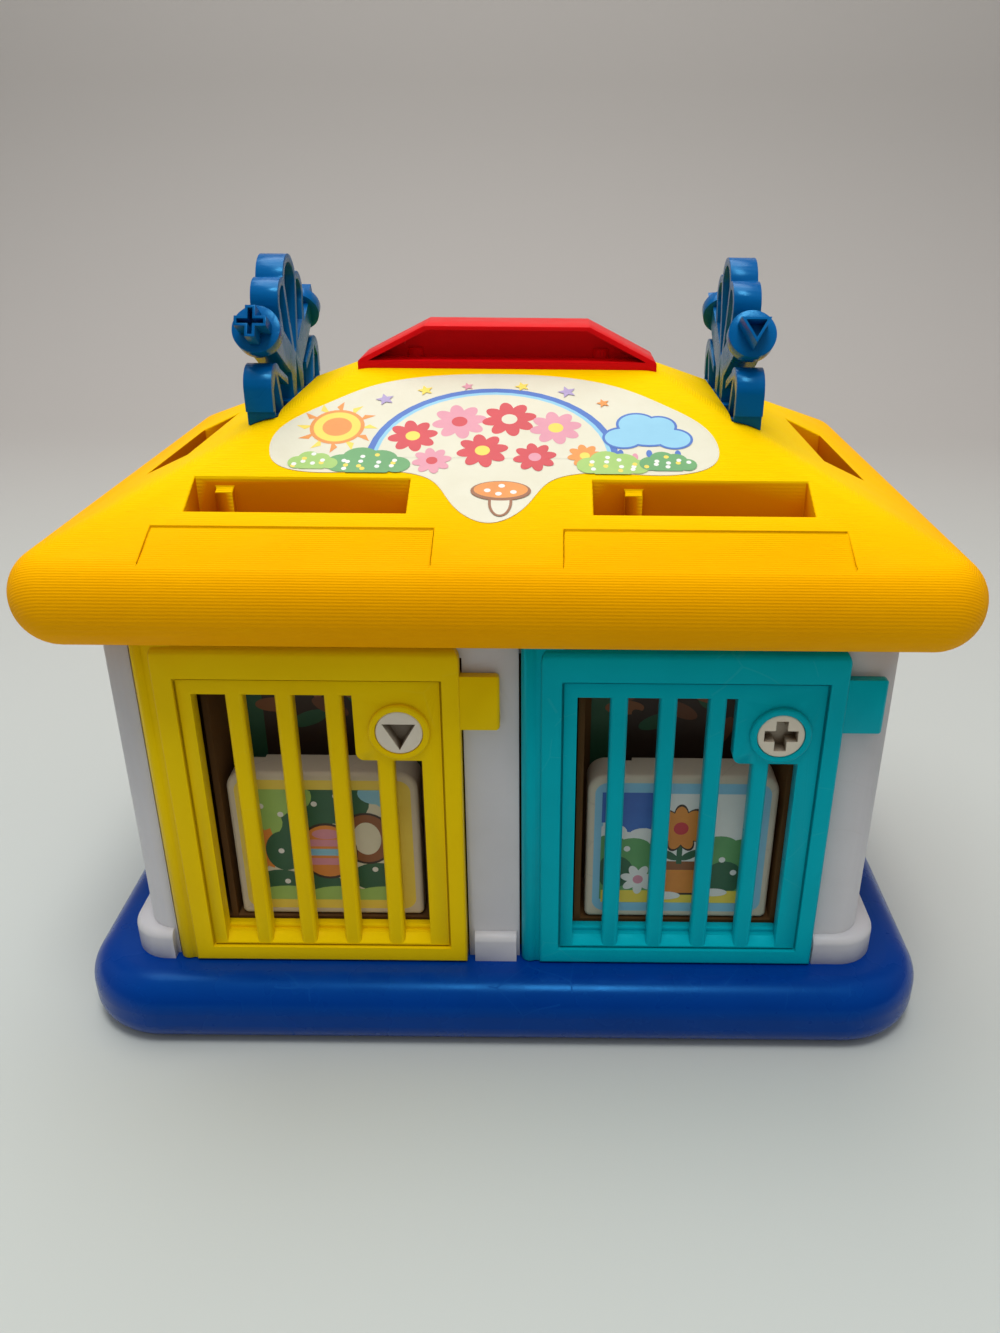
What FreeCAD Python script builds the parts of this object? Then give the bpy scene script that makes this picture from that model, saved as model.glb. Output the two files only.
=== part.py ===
import FreeCAD, Part
import os
from math import atan, atan2, cos, degrees, radians, sin
from FreeCAD import Vector as V

# Toy animal house: sorting blocks drop through roof slots into four cages whose barred
# doors are held by keyed locks. +Z is up, the front faces -Y, the origin is on the
# ground under the middle of the base. All sizes are in millimetres.

# Driving dimensions
base_w = 280.0            # base, left to right
base_d = 193.0            # base, front to back
base_h = 23.0
base_corner = 28.5
base_round_top = 10.0
base_round_low = 8.5
deck_t = 3.5
base_rim = 13.0           # solid bullnose edge around the hollow underside

wall_w = 236.0
wall_d = 156.0
wall_t = 2.2
wall_corner = 10.0
wall_top = 139.1          # the roof sits on this edge
skirt_side = 5.8          # foot moulding beyond the side walls
skirt_front = 3.0         # and beyond the front and back walls
skirt_round = 2.6
skirt_h = 10.2

eave_over_side = 16.3     # eave beyond the side walls
eave_over_front = 19.1    # eave beyond the front and back walls
eave_round = 14.0
eave_edge_z = 162.6       # where the slope would meet the upright eave face
ridge_half_l = 46.0
ridge_half_d = 8.0
ridge_z = 203.5
roof_t = 2.6
soffit_t = 2.6
panel_cut = 0.5           # sunk fields round the front slots

end_left = 11.0           # house corner to the left front door
end_right = 17.0          # right front door to the house corner
pillar_w = 17.6           # between the two front doors
door_gap = 0.5            # door edge to wall opening
door_foot = 0.5           # door over the deck
door_top = 131.5          # inside the wall opening
door_head = 137.6         # face plate, over the lintel
door_lap = 0.4            # face plate to wall face
head_round_d, head_round_h = 3.6, 4.8      # rounded top of the face plate
panel_top = 126.6
flare_w = 12.7            # hinge strip at its top
door_proud = 4.0          # door face ahead of the wall
door_back = 1.8           # door back behind the wall face
stile_r = 2.9
hinge_u = 3.1
hinge_y = -0.3
pin_r = 2.0
running = 0.06            # radial running clearance of pins and lock barrels
leaf_u = 6.1
border = 5.4
panel_deep = 1.0
window_u0 = 16.7
window_end = 11.9         # window to the free edge of the door
window_z0, window_z1 = 32.5, 121.3
sill_h, sill_d = 2.4, 2.8
bar_w, bar_t, bar_round = 5.2, 3.9, 1.2
bar_shares = (0.185, 0.402, 0.619, 0.833)   # across the window
lock_in = 18.2            # lock to the free edge of the door
lock_z = 109.6
lock_plate_in, lock_plate_z0 = 31.6, 99.5
lock_head_r = 7.05
lock_shaft_r = 6.5
lock_ring_r = 9.2
lock_ring_h = 1.5
cam_reach = 21.6
cam_w = 7.0
cam_t = 2.3
cam_y = 2.5
tab_len, tab_h, tab_z = 11.6, 17.4, 110.4

block_l, block_t, block_h = 60.4, 12.4, 54.7
block_corner = 6.0
slot_play = 0.6           # slot end to block end
slot_gap = 0.5            # slot side to block face
block_y = 6.1             # block face behind the wall face
cage_floor = 34.3
card_w, card_h = 55.6, 49.6
card_in = 0.3
card_corner = 4.2
cage_deep = 28.0          # wall face to cage back
sheet_t = 2.0             # moulded inner walls
nib_w, nib_d = 5.1, 2.2
groove_play = 0.6
core_top = 141.5
chute_low = 150.0
sticker_t = 0.2

key_x = 73.5
key_t = 8.4
key_crown_z = 235.4
knob_r, knob_t = 7.15, 4.4
knob_y, knob_z = 26.5, 214.6
prong_l = 7.0
prong_wall = 0.8
prong_hollow = 4.5
tongue_half = 33.0
socket_play = 0.3
socket_floor = 176.0
web_t = 3.0

handle_half_l = 47.5
handle_top_half = 26.0
handle_half_d = 10.5
handle_top = 215.4
handle_skin = 1.2
handle_rim = 1.5
handle_lip = 1.2
handle_wall = 1.5         # half thickness of the wall between the two recesses

screw_shank_r, screw_head_r, screw_head_t, screw_len = 1.2, 2.8, 2.0, 12.0

# Tied values
hw, hd = wall_w / 2, wall_d / 2
door_w = (wall_w - end_left - pillar_w - end_right) / 2     # with the hinge stile
window_u1 = door_w - window_end
bar_us = [window_u0 + k * (window_u1 - window_u0) for k in bar_shares]
lock_u = door_w - lock_in
lock_plate_u0 = door_w - lock_plate_in
eave_hw, eave_hd = hw + eave_over_side, hd + eave_over_front
slot_l = block_l + 2 * slot_play
slot_mid = (door_w - slot_l) / 2
slot_y0 = block_y - slot_gap
slot_y1 = block_y + block_t + slot_gap
inner_y = 5.5             # inner walls start this far behind the wall face
slope_side = (ridge_z - eave_edge_z) / (eave_hw - ridge_half_l)
slope_front = (ridge_z - eave_edge_z) / (eave_hd - ridge_half_d)
block_low = cage_floor + 0.3

# Each cage: name, turn about Z, wall half distance, left end of its door, slot start, nib start
cages = (
    ("front_left", 0, hd, end_left - hw, slot_mid + 2.5, slot_mid + 8.2),
    ("front_right", 0, hd, hw - end_right - door_w, slot_mid + 3.5, slot_mid + 12.8),
    ("right_side", 90, hw, -door_w / 2, slot_mid, slot_mid + 28.2),
    ("left_side", -90, hw, -door_w / 2, slot_mid, slot_mid + 41.2),
)
keyholes = {"front_left": "triangle", "front_right": "plus", "right_side": "square", "left_side": "star"}


def box(x0, x1, y0, y1, z0, z1):
    return Part.makeBox(x1 - x0, y1 - y0, z1 - z0, V(x0, y0, z0))


def cyl(r, h, p, d=V(0, 0, 1)):
    return Part.makeCylinder(r, h, p, d)


def rounded(w, d, r, z0, z1):
    s = box(-w / 2, w / 2, -d / 2, d / 2, z0, z1)
    return s.makeFillet(r, [e for e in s.Edges if abs(e.Vertexes[0].Z - e.Vertexes[1].Z) > 1e-6])


def union(shapes):
    shapes = list(shapes)
    s = shapes[0]
    if len(shapes) > 1:
        s = s.fuse(shapes[1:])
    return s.removeSplitter()


def edges_at(s, test):
    return [e for e in s.Edges if test(e)]


def level(z, tol=1e-4):
    return lambda e: all(abs(v.Z - z) < tol for v in e.Vertexes) and abs(e.BoundBox.ZMax - e.BoundBox.ZMin) < tol


def prism(points, direction):
    w = Part.makePolygon(points + [points[0]])
    return Part.Face(w).extrude(direction)


def cage_place(shape, cage):
    """From a cage's own frame (x along the door, y into the house, wall face at 0) to the house."""
    name, turn, half, left, slot, nib = cage
    m = FreeCAD.Matrix()
    m.move(V(left, -half, 0))
    m.rotateZ(radians(turn))
    s = shape.copy()
    s.transformShape(m, True)
    return s


def save(name, shape):
    if isinstance(shape, (list, tuple)):
        shape = Part.makeCompound(list(shape))
    for s in shape.Solids:
        if not s.isValid():
            print("invalid", name)
    if shape.ShapeType == "Compound" and len(shape.Solids) == 1:
        shape = shape.Solids[0]
    shape.exportStep("parts/" + name + ".step")
    b = shape.BoundBox
    print("%-28s solids %d  x %.1f..%.1f  y %.1f..%.1f  z %.1f..%.1f" % (
        name, len(shape.Solids), b.XMin, b.XMax, b.YMin, b.YMax, b.ZMin, b.ZMax))


# Screws: head under the seat at z, shank upwards
def screw(x, y, z):
    s = cyl(screw_head_r, screw_head_t, V(x, y, z - screw_head_t))
    s = s.fuse(cyl(screw_shank_r, screw_len, V(x, y, z))).removeSplitter()
    cross = box(x - 1.6, x + 1.6, y - 0.35, y + 0.35, z - screw_head_t, z - screw_head_t + 0.9)
    cross = cross.fuse(box(x - 0.35, x + 0.35, y - 1.6, y + 1.6, z - screw_head_t, z - screw_head_t + 0.9))
    return s.cut(cross)


wall_boss = [(sx * (hw - 6.5), sy * (hd - 6.5)) for sx in (-1, 1) for sy in (-1, 1)]
core_boss = [(sx * (hw - cage_deep - 5.0), sy * (hd - cage_deep - 5.0)) for sx in (-1, 1) for sy in (-1, 1)]
roof_boss = [(sx * (hw - 13.5), sy * (hd - 11.5)) for sx in (-1, 1) for sy in (-1, 1)]

# Base tray
base = rounded(base_w, base_d, base_corner, 0, base_h)
base = base.makeFillet(base_round_top, edges_at(base, level(base_h)))
base = base.makeFillet(base_round_low, edges_at(base, level(0)))
hollow = rounded(base_w - 2 * base_rim, base_d - 2 * base_rim, base_corner - base_rim, -1, base_h - deck_t)
base = base.cut(hollow)
lip = rounded(wall_w - 2 * wall_t - 1.0, wall_d - 2 * wall_t - 1.0, wall_corner - wall_t - 0.5, base_h - 0.5, base_h + 2)
lip = lip.cut(rounded(wall_w - 2 * wall_t - 4.0, wall_d - 2 * wall_t - 4.0, wall_corner - wall_t - 2, base_h - 1, base_h + 3))
corner_room = [box(sx * hw - 16 if sx > 0 else sx * hw, sx * hw if sx > 0 else sx * hw + 16,
                   sy * hd - 16 if sy > 0 else sy * hd, sy * hd if sy > 0 else sy * hd + 16, base_h - 0.6, base_h + 4)
               for sx in (-1, 1) for sy in (-1, 1)]
lip = lip.cut(corner_room)
lip = lip.cut(box(-hw, hw, -hd, -hd + 12, base_h - 0.6, base_h + 4))
lip = lip.cut([box(-hw, -hw + 12, -door_w / 2 - 2, door_w / 2 + 2, base_h - 0.6, base_h + 4),
               box(hw - 12, hw, -door_w / 2 - 2, door_w / 2 + 2, base_h - 0.6, base_h + 4)])
base = union([base, lip])
holes = [cyl(screw_shank_r + 0.25, 8, V(x, y, base_h - 6)) for x, y in wall_boss + core_boss]
holes += [cage_place(cyl(pin_r + running, 8, V(hinge_u, hinge_y, base_h - 6)), c) for c in cages]
holes += [cyl(screw_head_r + 0.4, base_h - deck_t + 1, V(x, y, -1)) for x, y in wall_boss + core_boss]
base = base.cut(holes)
save("base_tray", base)

# House walls
walls = rounded(wall_w, wall_d, wall_corner, base_h, wall_top)
walls = walls.cut(rounded(wall_w - 2 * wall_t, wall_d - 2 * wall_t, wall_corner - wall_t, base_h - 1, wall_top + 1))
skirt = rounded(wall_w + 2 * skirt_side, wall_d + 2 * skirt_front, wall_corner + skirt_front, base_h, base_h + skirt_h)
skirt = skirt.makeFillet(skirt_round, edges_at(skirt, level(base_h + skirt_h)))
skirt = skirt.cut(rounded(wall_w - 1, wall_d - 1, wall_corner - 0.5, base_h - 1, wall_top))
skirt_ends = {"front_left": (-1.4, door_w + 2.5), "front_right": (-1.5, door_w + 0.7),
              "right_side": (-1.5, door_w + 0.7), "left_side": (-1.5, door_w + 0.7)}
skirt = skirt.cut([cage_place(box(skirt_ends[c[0]][0], skirt_ends[c[0]][1], -skirt_side - 2, 3, base_h - 1, base_h + skirt_h + 1), c)
                   for c in cages])
walls = walls.fuse(skirt)
opening = [cage_place(box(-door_gap, door_w + door_gap, -skirt_side - 2, 8, base_h - 1, door_top + 0.8), c) for c in cages]
opening += [cage_place(box(-door_gap, hinge_u + stile_r + door_gap, -skirt_side - 2, 8, base_h - 1, wall_top + 1), c) for c in cages]
walls = walls.cut(opening)
bosses = []
for x, y in wall_boss:
    bosses.append(cyl(3.5, wall_top - base_h, V(x, y, base_h)))
gussets = []
for x, y in roof_boss:
    sx, sy = (1 if x > 0 else -1), (1 if y > 0 else -1)
    x0, x1 = sorted((x - sx * 3.6, sx * (hw - wall_t + 0.4)))
    y0, y1 = sorted((y - sy * 3.6, sy * (hd - wall_t + 0.4)))
    gussets.append(box(x0, x1, y0, y1, wall_top - 2.5, wall_top))
outer = rounded(wall_w - 0.8, wall_d - 0.8, wall_corner - 0.4, base_h - 1, wall_top + 1)
pads = union(bosses + gussets).common(outer)
keep_out = [cage_place(box(-door_gap, door_w + door_gap, -skirt_side - 2, 2.95, base_h - 1, wall_top + 1), c) for c in cages]
# inside strips that carry the door heads past the hinge stiles
strips = []
for c in cages:
    z0 = door_top + 1.1
    strips.append(cage_place(box(-5.5, 12, 2.95, 5.2, z0, wall_top), c))
    strips.append(cage_place(box(-5.5, -door_gap - 0.1, 1.0, 5.2, z0, wall_top), c))
    strips.append(cage_place(box(leaf_u - 0.1, 12, 1.0, 5.2, z0, wall_top), c))
walls = union([walls, pads.cut(keep_out)] + [s.common(outer) for s in strips])
walls = walls.cut([cyl(screw_shank_r + 0.05, screw_len, V(x, y, base_h - 1)) for x, y in wall_boss])
walls = walls.cut([cyl(screw_shank_r + 0.25, 6, V(x, y, wall_top - 4)) for x, y in roof_boss])
save("house_walls", walls)


# Cage core: cage backs, floors, guides and the corner bosses of one moulding
by = cage_deep
cx, cy = hw - inner_y, hd - inner_y
floor_x0, floor_x1 = end_left - hw + door_gap, hw - end_right
middle = end_left - hw + door_w + pillar_w / 2
core = [
    box(-cx, cx, -hd + by, -hd + by + sheet_t, base_h, core_top),
    box(-cx, cx, hd - by - sheet_t, hd - by, base_h, core_top),
    box(-hw + by, -hw + by + sheet_t, -hd + by, hd - by, base_h, core_top),
    box(hw - by - sheet_t, hw - by, -hd + by, hd - by, base_h, core_top),
    box(floor_x0, floor_x1, -cy, -hd + by + 1, cage_floor - sheet_t, cage_floor),
    box(floor_x0, floor_x1, -cy, -cy + sheet_t, base_h, cage_floor - 1),
    box(middle - 1.0, middle + 1.0, -cy, -hd + by + 1, base_h, core_top),
]
for sx in (-1, 1):
    x0, x1 = sorted((sx * (hw - by - 1), sx * cx))
    core.append(box(x0, x1, -door_w / 2, door_w / 2, cage_floor - sheet_t, cage_floor))
    x0, x1 = sorted((sx * (cx - sheet_t), sx * cx))
    core.append(box(x0, x1, -door_w / 2, door_w / 2, base_h, cage_floor - 1))
for c in cages:
    s = c[4]
    for u0 in (s - 0.9 - sheet_t, s + slot_l + 0.9):
        fin = box(u0, u0 + sheet_t, inner_y, by + 0.5, cage_floor - 1, core_top)
        core.append(cage_place(fin, c))
for x, y in core_boss:
    core.append(cyl(4.0, 40, V(x, y, base_h)))
core = union(core).cut([cyl(screw_shank_r + 0.05, screw_len, V(x, y, base_h - 1)) for x, y in core_boss])
save("cage_core", core)

save("base_screws", [screw(x, y, base_h - deck_t) for x, y in wall_boss + core_boss])
save("roof_screws", [screw(x, y, wall_top - 2.5) for x, y in roof_boss])


# Roof
def hip(ex, ey, rx, ry, z0, ze, zr, r_eave, r_hip):
    p = [V(-ex, -ey, z0), V(ex, -ey, z0), V(ex, ey, z0), V(-ex, ey, z0)]
    q = [V(a.x, a.y, ze) for a in p]
    t = [V(-rx, -ry, zr), V(rx, -ry, zr), V(rx, ry, zr), V(-rx, ry, zr)]
    faces = [Part.Face(Part.makePolygon([p[0], p[3], p[2], p[1], p[0]])),
             Part.Face(Part.makePolygon([t[0], t[1], t[2], t[3], t[0]]))]
    for i in range(4):
        j = (i + 1) % 4
        faces.append(Part.Face(Part.makePolygon([p[i], p[j], q[j], q[i], p[i]])))
        faces.append(Part.Face(Part.makePolygon([q[i], q[j], t[j], t[i], q[i]])))
    s = Part.makeSolid(Part.makeShell(faces))
    upright = [e for e in s.Edges if abs(e.Vertexes[0].X - e.Vertexes[1].X) < 1e-6 and abs(e.Vertexes[0].Y - e.Vertexes[1].Y) < 1e-6]
    rest = [e for e in s.Edges if not (e.BoundBox.ZMin > zr - 1e-3) and not any(e.isSame(u) for u in upright)]
    s = s.makeFillet(r_eave, upright + rest)
    return s


roof_outer = hip(eave_hw, eave_hd, ridge_half_l, ridge_half_d, wall_top, eave_edge_z, ridge_z, eave_round, eave_round)
cb = atan(slope_front)
drop_y = roof_t / cos(cb)
inner_ze = eave_edge_z - drop_y + roof_t * slope_front
inner_zr = ridge_z - roof_t
irx = (eave_hw - roof_t) - (inner_zr - inner_ze) / slope_side
iry = (eave_hd - roof_t) - (inner_zr - inner_ze) / slope_front
roof_inner = hip(eave_hw - roof_t, eave_hd - roof_t, max(irx, 2.0), max(iry, 2.0), wall_top + soffit_t, inner_ze,
                 inner_zr, eave_round - roof_t, eave_round - roof_t)
roof = roof_outer.cut(roof_inner)
roof = roof.cut(rounded(wall_w - 10, wall_d - 10, 6, wall_top - 1, wall_top + soffit_t + 1))
adds, cuts, nibs = [], [], []
for c in cages:
    s, n = c[4], c[5]
    tube = box(s - 1.8, s + slot_l + 1.8, slot_y0 - 1.8, slot_y1 + 1.8, chute_low, ridge_z)
    adds.append(cage_place(tube, c).common(roof_outer))
    cuts.append(cage_place(box(s, s + slot_l, slot_y0, slot_y1, chute_low - 1, ridge_z + 5), c))
    top = cage_place(box(n, n + nib_w, slot_y1 - nib_d, slot_y1 + 0.5, chute_low, ridge_z), c)
    nibs.append(top.common(roof_outer.translated(V(0, 0, -3.0))))
for sx in (-1, 1):
    x = sx * key_x
    hx = key_t / 2 + socket_play
    adds.append(box(x - hx - 1.8, x + hx + 1.8, -tongue_half - socket_play - 1.8, tongue_half + socket_play + 1.8,
                    socket_floor - 1.8, ridge_z).common(roof_outer))
    cuts.append(box(x - hx, x + hx, -tongue_half - socket_play, tongue_half + socket_play, socket_floor, ridge_z + 5))
for x, y in roof_boss:
    adds.append(cyl(3.4, 12, V(x, y, wall_top)))
    sx, sy = (1 if x > 0 else -1), (1 if y > 0 else -1)
    x0, x1 = sorted((x - sx * 3.6, sx * (hw - 4)))
    y0, y1 = sorted((y - sy * 3.6, sy * (hd - 4)))
    adds.append(box(x0, x1, y0, y1, wall_top, wall_top + soffit_t))
roof = union([roof] + adds).cut(cuts)
roof = union([roof] + nibs)
roof = roof.cut([cyl(screw_shank_r + 0.05, screw_len - 1.5, V(x, y, wall_top - 1)) for x, y in roof_boss])
roof = roof.cut([cage_place(cyl(pin_r + running, 6, V(hinge_u, hinge_y, wall_top - 1)), c) for c in cages])
# shallow panels under the front slots, running out on the eave curve
for x0, x1 in ((-95.4, -17.8), (17.8, 95.4)):
    p = box(x0, x1, -60, 0, 0, 10)
    p.rotate(V(0, 0, 0), V(1, 0, 0), degrees(cb))
    z_at = eave_edge_z + (eave_hd - 77.8) * slope_front
    p.translate(V(0, -77.8, z_at - panel_cut / cos(cb)))
    roof = roof.cut(p)
peg_x = 30.0
roof = roof.cut([cyl(3.05, 20, V(sx * peg_x, 0, ridge_z - 12)) for sx in (-1, 1)])
save("roof_shell", roof)

# Carry handle
z0 = ridge_z - 3.0
grip = prism([V(-handle_half_l, -handle_half_d, z0), V(handle_half_l, -handle_half_d, z0),
              V(handle_half_l, -handle_half_d, z0 + 4.2), V(handle_top_half, -handle_half_d, handle_top),
              V(-handle_top_half, -handle_half_d, handle_top), V(-handle_half_l, -handle_half_d, z0 + 4.2)],
             V(0, 2 * handle_half_d, 0))
grip = grip.makeFillet(1.2, [e for e in grip.Edges if abs(e.Vertexes[0].X - e.Vertexes[1].X) < 1e-6 and e.Length > 15 and e.BoundBox.ZMin > z0 + 2])
grip = grip.cut(roof_outer)
low = ridge_z + handle_lip
lean = (handle_half_l - handle_top_half) / (handle_top - z0 - 4.2)


def recess_half(z):
    return handle_top_half + (handle_top - z) * lean - handle_rim * (1 + lean ** 2) ** 0.5


for sy in (-1, 1):
    y, high = sy * (handle_half_d + 0.1), handle_top - handle_skin
    pk = prism([V(-recess_half(low), y, low), V(recess_half(low), y, low), V(recess_half(high), y, high), V(-recess_half(high), y, high)],
               V(0, -sy * (handle_half_d + 0.1 - handle_wall), 0))
    grip = grip.cut(pk)
pegs = [cyl(3.0, 11.0, V(sx * peg_x, 0, ridge_z - 7)) for sx in (-1, 1)]
grip = union([grip] + pegs)
save("carry_handle", grip)

# Roof decal, flat on the front slope between the slots
pts = [(-68, 50), (-67, 39), (-55, 28), (-42, 19.5), (-24, 14.5), (-3, 13.2), (18, 14.5), (36, 19.5), (50, 28), (62, 40),
       (62, 52), (50, 57), (26, 56.5), (14, 60), (7, 70), (-3, 76), (-13, 70), (-20, 60), (-32, 56.5), (-56, 57)]
loop = [V(x, -y, eave_edge_z + (eave_hd - y) * slope_front) for x, y in pts]
curve = Part.BSplineCurve()
curve.interpolate(loop, PeriodicFlag=True)
normal = V(0, -sin(cb), cos(cb))
decal = Part.Face(Part.Wire(curve.toShape())).extrude(normal * sticker_t)
save("roof_decal", decal)


# Doors and locks
def keyhole(kind, y0, y1, grow=0.0):
    d = V(0, y1 - y0, 0)
    if kind == "triangle":
        r = 5.77 + 2 * grow
        a = [(r * cos(radians(t)), r * sin(radians(t))) for t in (30, 150, 270)]
    elif kind == "plus":
        b, w = 5.0 + grow, 1.8 + grow
        a = [(w, w), (w, b), (-w, b), (-w, w), (-b, w), (-b, -w), (-w, -w), (-w, -b), (w, -b), (w, -w), (b, -w), (b, w)]
    elif kind == "square":
        b = 3.9 + grow
        a = [(b, b), (-b, b), (-b, -b), (b, -b)]
    else:
        a = []
        for i in range(10):
            r = (5.4 if i % 2 == 0 else 2.6) + grow
            t = radians(90 + 36 * i)
            a.append((r * cos(t), r * sin(t)))
    return prism([V(x, y0, z) for x, z in a], d)


def door(c):
    zb = base_h + door_foot
    def top_corners(s, top):
        return s.makeFillet(5.0, [e for e in s.Edges if abs(e.BoundBox.YMax - e.BoundBox.YMin) > 1.5 and e.BoundBox.ZMin > top - 1])

    leaf = top_corners(box(leaf_u, door_w, -door_proud, -door_lap, zb, door_head), door_head)
    leaf = leaf.makeFillet(0.8, [e for e in leaf.Edges if abs(e.BoundBox.YMax + door_proud) < 1e-3])
    y0, y1, z1 = -door_proud, -door_proud + head_round_d, door_head - head_round_h
    arc = Part.Arc(V(0, y0, z1), V(0, y0 + 0.3 * head_round_d, z1 + 0.72 * head_round_h), V(0, y1, door_head)).toShape()
    edge = Part.Wire([arc] + [Part.makeLine(*pair) for pair in (
        (V(0, y1, door_head), V(0, y1, door_head + 2)), (V(0, y1, door_head + 2), V(0, y0 - 2, door_head + 2)),
        (V(0, y0 - 2, door_head + 2), V(0, y0 - 2, z1)), (V(0, y0 - 2, z1), V(0, y0, z1)))])
    leaf = leaf.cut(Part.Face(edge).extrude(V(door_w + 5, 0, 0)))
    leaf = leaf.fuse(top_corners(box(leaf_u, door_w, -door_lap - 0.2, door_back, zb, door_top), door_top))
    pu0, pu1, pz0, pz1 = leaf_u + border + 0.6, door_w - border + 0.2, zb + border, panel_top
    leaf = leaf.cut(box(pu0, pu1, -door_proud - 1, -door_proud + panel_deep, pz0, pz1))
    line = box(pu0, pu1, -door_proud, -door_proud + 1.9, pz0, pz1).cut(
        box(pu0 + 0.7, pu1 - 0.7, -door_proud - 1, -door_proud + 3, pz0 + 0.7, pz1 - 0.7))
    leaf = leaf.cut(line)
    window = box(window_u0, window_u1, -door_proud - 1, door_back + 1, window_z0, window_z1)
    face = -door_proud + panel_deep
    sill = prism([V(window_u0, face - 0.01, window_z0 - sill_h), V(window_u0, face + sill_d, window_z0 + 0.1),
                  V(window_u0, -door_proud - 1, window_z0 + 0.1), V(window_u0, -door_proud - 1, window_z0 - sill_h)],
                 V(window_u1 - window_u0, 0, 0))
    leaf = leaf.cut([window, sill])
    plate = box(lock_plate_u0, window_u1 + 1, face, door_back, lock_plate_z0, window_z1 + 1)
    plate = plate.makeFillet(2.5, [e for e in plate.Edges if abs(e.BoundBox.YMax - e.BoundBox.YMin) > 4
                                   and e.BoundBox.XMax < lock_plate_u0 + 1 and e.BoundBox.ZMax < lock_plate_z0 + 1])
    parts = [leaf, plate]
    for u in bar_us:
        top = lock_plate_z0 + 1 if u > lock_plate_u0 else window_z1 + 1
        b = box(u - bar_w / 2, u + bar_w / 2, face, face + bar_t, window_z0 - sill_h - 0.1, top)
        parts.append(b.makeFillet(bar_round, [e for e in b.Edges if e.BoundBox.ZMax - e.BoundBox.ZMin > 10 and e.BoundBox.YMax < face + 0.01]))
    stile = cyl(stile_r, wall_top - 0.4 - zb, V(hinge_u, hinge_y, zb))
    link = box(hinge_u, leaf_u + 0.5, -door_proud + 1.2, door_back, zb, door_top - 4)
    flare = box(hinge_u - 1.9, flare_w, -door_proud + 1.2, -door_lap, door_top - 6, wall_top - 0.4)
    tab = box(door_w - 1, door_w + tab_len, -door_proud + 0.6, -0.4, tab_z, tab_z + tab_h)
    tab = tab.makeFillet(1.2, [e for e in tab.Edges if e.BoundBox.XMin > door_w + tab_len - 1e-3])
    ring = cyl(lock_ring_r, lock_ring_h, V(lock_u, face, lock_z), V(0, -1, 0))
    ring = ring.makeFillet(0.8, [e for e in ring.Edges if e.BoundBox.YMax < face - lock_ring_h + 0.01])
    parts += [stile, link, flare, tab, ring]
    pins = [cyl(pin_r, 3.0, V(hinge_u, hinge_y, zb - 3.0)), cyl(pin_r, 2.8, V(hinge_u, hinge_y, wall_top - 0.4))]
    d = union(parts + pins)
    d = d.cut(cyl(lock_head_r + 0.15, 10, V(lock_u, face + 0.6, lock_z), V(0, -1, 0)))
    d = d.cut(cyl(lock_shaft_r + running, 20, V(lock_u, -10, lock_z), V(0, 1, 0)))
    return d


def barrel(kind):
    face = -door_proud + panel_deep
    s = cyl(lock_head_r, 1.75, V(0, face + 0.55, 0), V(0, -1, 0))
    s = s.makeFillet(0.4, [e for e in s.Edges if e.BoundBox.YMax < face - 1.15])
    s = s.fuse(cyl(lock_shaft_r, cam_y - face - 0.55, V(0, face + 0.55, 0), V(0, 1, 0))).removeSplitter()
    s = s.cut(keyhole(kind, face - 3, 0.6))
    return s.translated(V(lock_u, 0, lock_z))


def cam():
    s = cyl(lock_shaft_r, cam_t, V(0, cam_y, 0), V(0, 1, 0))
    arm = box(-cam_w / 2, cam_w / 2, cam_y, cam_y + cam_t, 0, cam_reach - cam_w / 2)
    tip = cyl(cam_w / 2, cam_t, V(0, cam_y, cam_reach - cam_w / 2), V(0, 1, 0))
    s = union([s, arm, tip])
    s = s.cut(cyl(screw_shank_r + 0.05, 10, V(0, cam_y - 1, 0), V(0, 1, 0)))
    return s.translated(V(lock_u, 0, lock_z))


def cam_screw():
    s = cyl(screw_shank_r, cam_t + 1.5, V(0, cam_y - 1.5, 0), V(0, 1, 0))
    head = cyl(2.4, 0.6, V(0, cam_y + cam_t, 0), V(0, 1, 0))
    return s.fuse(head).removeSplitter().translated(V(lock_u, 0, lock_z))


for c in cages:
    name = c[0]
    save("door_" + name, cage_place(door(c), c))
    b = barrel(keyholes[name])
    b = b.cut(cyl(screw_shank_r + 0.05, 5, V(lock_u, cam_y + 0.1, lock_z), V(0, -1, 0)).common(
        box(0, 200, 0.9, cam_y + 1, 0, 200)))
    save("lock_" + name, cage_place(b, c))
    save("cam_" + name, cage_place(cam(), c))
    save("cam_screw_" + name, cage_place(cam_screw(), c))

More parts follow.
